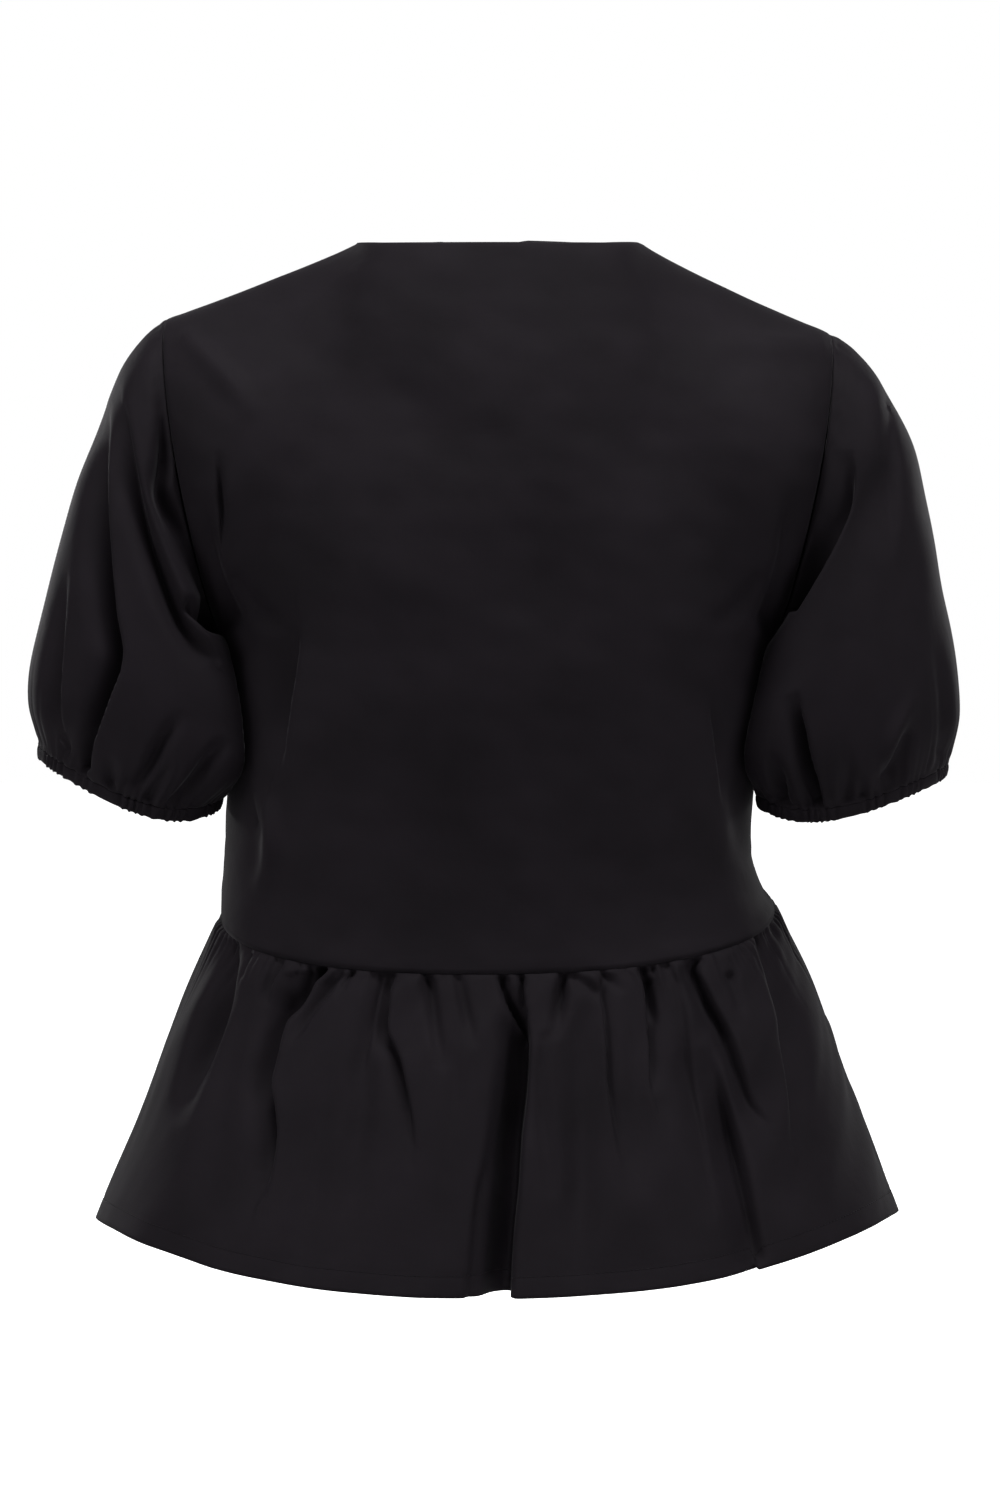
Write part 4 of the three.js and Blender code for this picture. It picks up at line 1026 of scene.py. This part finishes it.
def peplum_panel(face, creases, columns, rows, seed):
    """A peplum panel as a grid of points, with its folds and the gathers below the waist seam."""
    across, down = np.meshgrid(panel_shares(columns, 0.15), row_shares(rows, 0.1))
    flat = peplum_surface(face, across, down)
    if face is FRONT:
        flat = flat[:, ::-1]
        across = across[:, ::-1]
    level = unit(grid_normals(flat) * (1, 1, 0))
    sideways, lengthwise, from_side, from_hem = margins(flat)
    held = smooth(from_side / 8)
    from_waist = smooth(lengthwise / 4 + 0.25)
    deep, lean = folded(creases, flat[..., 0], flat[..., 2])
    depth = held * deep * from_waist
    share = (across + 1) / 2
    fade = 13 + 9 * soft_noise(sideways[:1], 0, 24, seed)
    wave = gather_wave(gather_phase(share, WAIST_GATHERS, seed))
    strength = np.clip(0.75 + 0.6 * soft_noise(sideways[:1], 0, 45, seed + 5), 0.1, 1.4)
    emerging = held * smooth(lengthwise / 3 + 0.16)
    fading = np.exp(-lengthwise / np.maximum(fade, 4))
    depth -= emerging * WAIST_GATHER_HEIGHT * strength * wave * fading
    fine = gather_wave(gather_phase(share, FINE_GATHERS, seed + 1))
    depth -= emerging * FINE_GATHER_HEIGHT * fine * np.exp(-lengthwise / 8)
    depth += held * 1.4 * soft_noise(sideways, lengthwise * 0.5, 60, seed + 2) * smooth(lengthwise / 60)
    ripple = soft_noise(sideways, lengthwise * 0.12, 17, seed + 3) * np.exp(-lengthwise / 80)
    depth += emerging * RIPPLE_HEIGHT * ripple
    depth += seam_dip(from_side) + seam_dip(lengthwise, 0.7, 1.6)
    depth += seam_dip(from_hem - HEM_TURNING, 0.3, 1.0)
    folded_over = leaned(flat, held * from_waist * smooth(lengthwise / 12) * lean)
    panel = kept_back(folded_over - level * depth[..., None], face)
    panel[:, [0, -1], 1] = 0
    return panel


def hemmed(grid):
    """Adds the hem: the cloth folds in under the lower edge and lies up against its own inside."""
    ROWS_UP = 6
    HEM_SPACE = 0.6
    inwards = -grid_normals(grid) * (CLOTH + HEM_SPACE)
    fold = grid[-1:] + inwards[-1:] * 0.5 + np.array([0, 0, -0.4])
    return np.concatenate([grid, fold, (grid + inwards)[::-1][:ROWS_UP]])


def hem_line(grid):
    """The line of a peplum panel that the hem stitching runs along, with its outward directions."""
    from_hem = lengths_along(grid[::-1], 0).T

    def above_hem(values):
        columns = values[::-1].swapaxes(0, 1)
        return np.array([read_column(*column, HEM_TURNING - 1) for column in zip(from_hem, columns)])

    return above_hem(grid), above_hem(grid_normals(grid))


def stitching(name, line, outwards, material):
    """A row of short rounded stitches along a line on the cloth."""
    PITCH = 2.8
    HALF_LENGTH = 1.1
    THREAD_RADIUS = 0.2
    SIDES = 6
    STATIONS = ((-1, 0.45), (-0.6, 1), (0.6, 1), (1, 0.45))
    length = lengths_along(line[None], 1)[0]
    centres = np.arange(PITCH, length[-1] - PITCH, PITCH)

    ends = [read_column(length, line, centres + reach) for reach in (-HALF_LENGTH, HALF_LENGTH)]
    along = unit(ends[1] - ends[0])
    up = unit(read_column(length, outwards, centres))
    beside = unit(np.cross(along, up))
    turn = np.arange(SIDES) / SIDES * 2 * math.pi
    rings = []
    for place, swell in STATIONS:
        middle = read_column(length, line, centres) + along * place * HALF_LENGTH + up * THREAD_RADIUS * 0.4
        round_thread = beside[:, None] * np.cos(turn)[:, None] + up[:, None] * np.sin(turn)[:, None]
        rings.append(middle[:, None] + round_thread * THREAD_RADIUS * swell)
    corners = np.stack(rings, axis=1).reshape(-1, 3)
    faces = []
    for first in range(0, len(corners), SIDES * len(STATIONS)):
        for ring in range(len(STATIONS) - 1):
            start = first + ring * SIDES
            for side in range(SIDES):
                beyond = (side + 1) % SIDES
                faces.append((start + side, start + beyond, start + SIDES + beyond, start + SIDES + side))
        faces.append(tuple(first + side for side in reversed(range(SIDES))))
        faces.append(tuple(first + (len(STATIONS) - 1) * SIDES + side for side in range(SIDES)))
    order = np.concatenate(faces)
    station = np.array([place for place, _ in STATIONS])[order // SIDES % len(STATIONS)]
    uv = np.stack([station * HALF_LENGTH, order % SIDES * THREAD_RADIUS], axis=-1)
    return finished_piece(name, corners, faces, "thread", uv, material)


PEPLUM_CLOTH = cloth_material("peplum_cloth", BLACK_DYE, roughness=0.75, sheen=0.015, thread_spacing=0.00042)
back_peplum_grid = peplum_panel(BACK, BACK_PEPLUM_CREASES, columns=430, rows=78, seed=51)
back_cut = hemmed(turned_in(back_peplum_grid, top=1, lean=UNDER_NEIGHBOUR, upright=True))
peplum_back = sewn_piece("back_peplum", "peplum_back", back_cut, PEPLUM_CLOTH)

HEM_THREAD = cloth_material("hem_thread", BLACK_DYE, roughness=0.55, sheen=0.04, thread_spacing=0.0003)
back_stitches = stitching("back_hem_stitches", *hem_line(back_peplum_grid), HEM_THREAD)

FRONT_PEPLUM_CREASES = [
    hanging_gather(FRONT, seam, hem, depths, width, steep)
    for seam, hem, depths, width, steep in (
        (-157, -224, [2, 4, 2, 0], 5, 1),
        (-147, -205, [3, 7, 5, 3], 7, 1),
        (-120, -162, [3, 9, 7, 4], 8, 1),
        (-92, -121, [3, 6, 2, 0], 5, 0),
        (-62, -75, [3, 10, 8, 6], 9, 1),
        (-32, -38, [3, 6, 2, 0], 5, -1),
        (-3, -2, [3, 8, 5, 3], 7, 0),
        (27, 37, [3, 6, 3, 0], 5, 1),
        (58, 74, [3, 10, 8, 5], 9, -1),
        (88, 119, [3, 5, 2, 0], 5, 0),
        (118, 161, [3, 9, 7, 4], 8, -1),
        (146, 204, [3, 7, 4, 2], 7, -1),
        (156, 223, [2, 3, 1, 0], 5, -1),
    )
]
front_peplum_grid = peplum_panel(FRONT, FRONT_PEPLUM_CREASES, columns=360, rows=66, seed=61)
front_cut = hemmed(turned_in(front_peplum_grid, top=1, lean=UNDER_NEIGHBOUR, upright=True))
peplum_front = sewn_piece("front_peplum", "peplum_front", front_cut, PEPLUM_CLOTH)

front_stitches = stitching("front_hem_stitches", *hem_line(front_peplum_grid), HEM_THREAD)
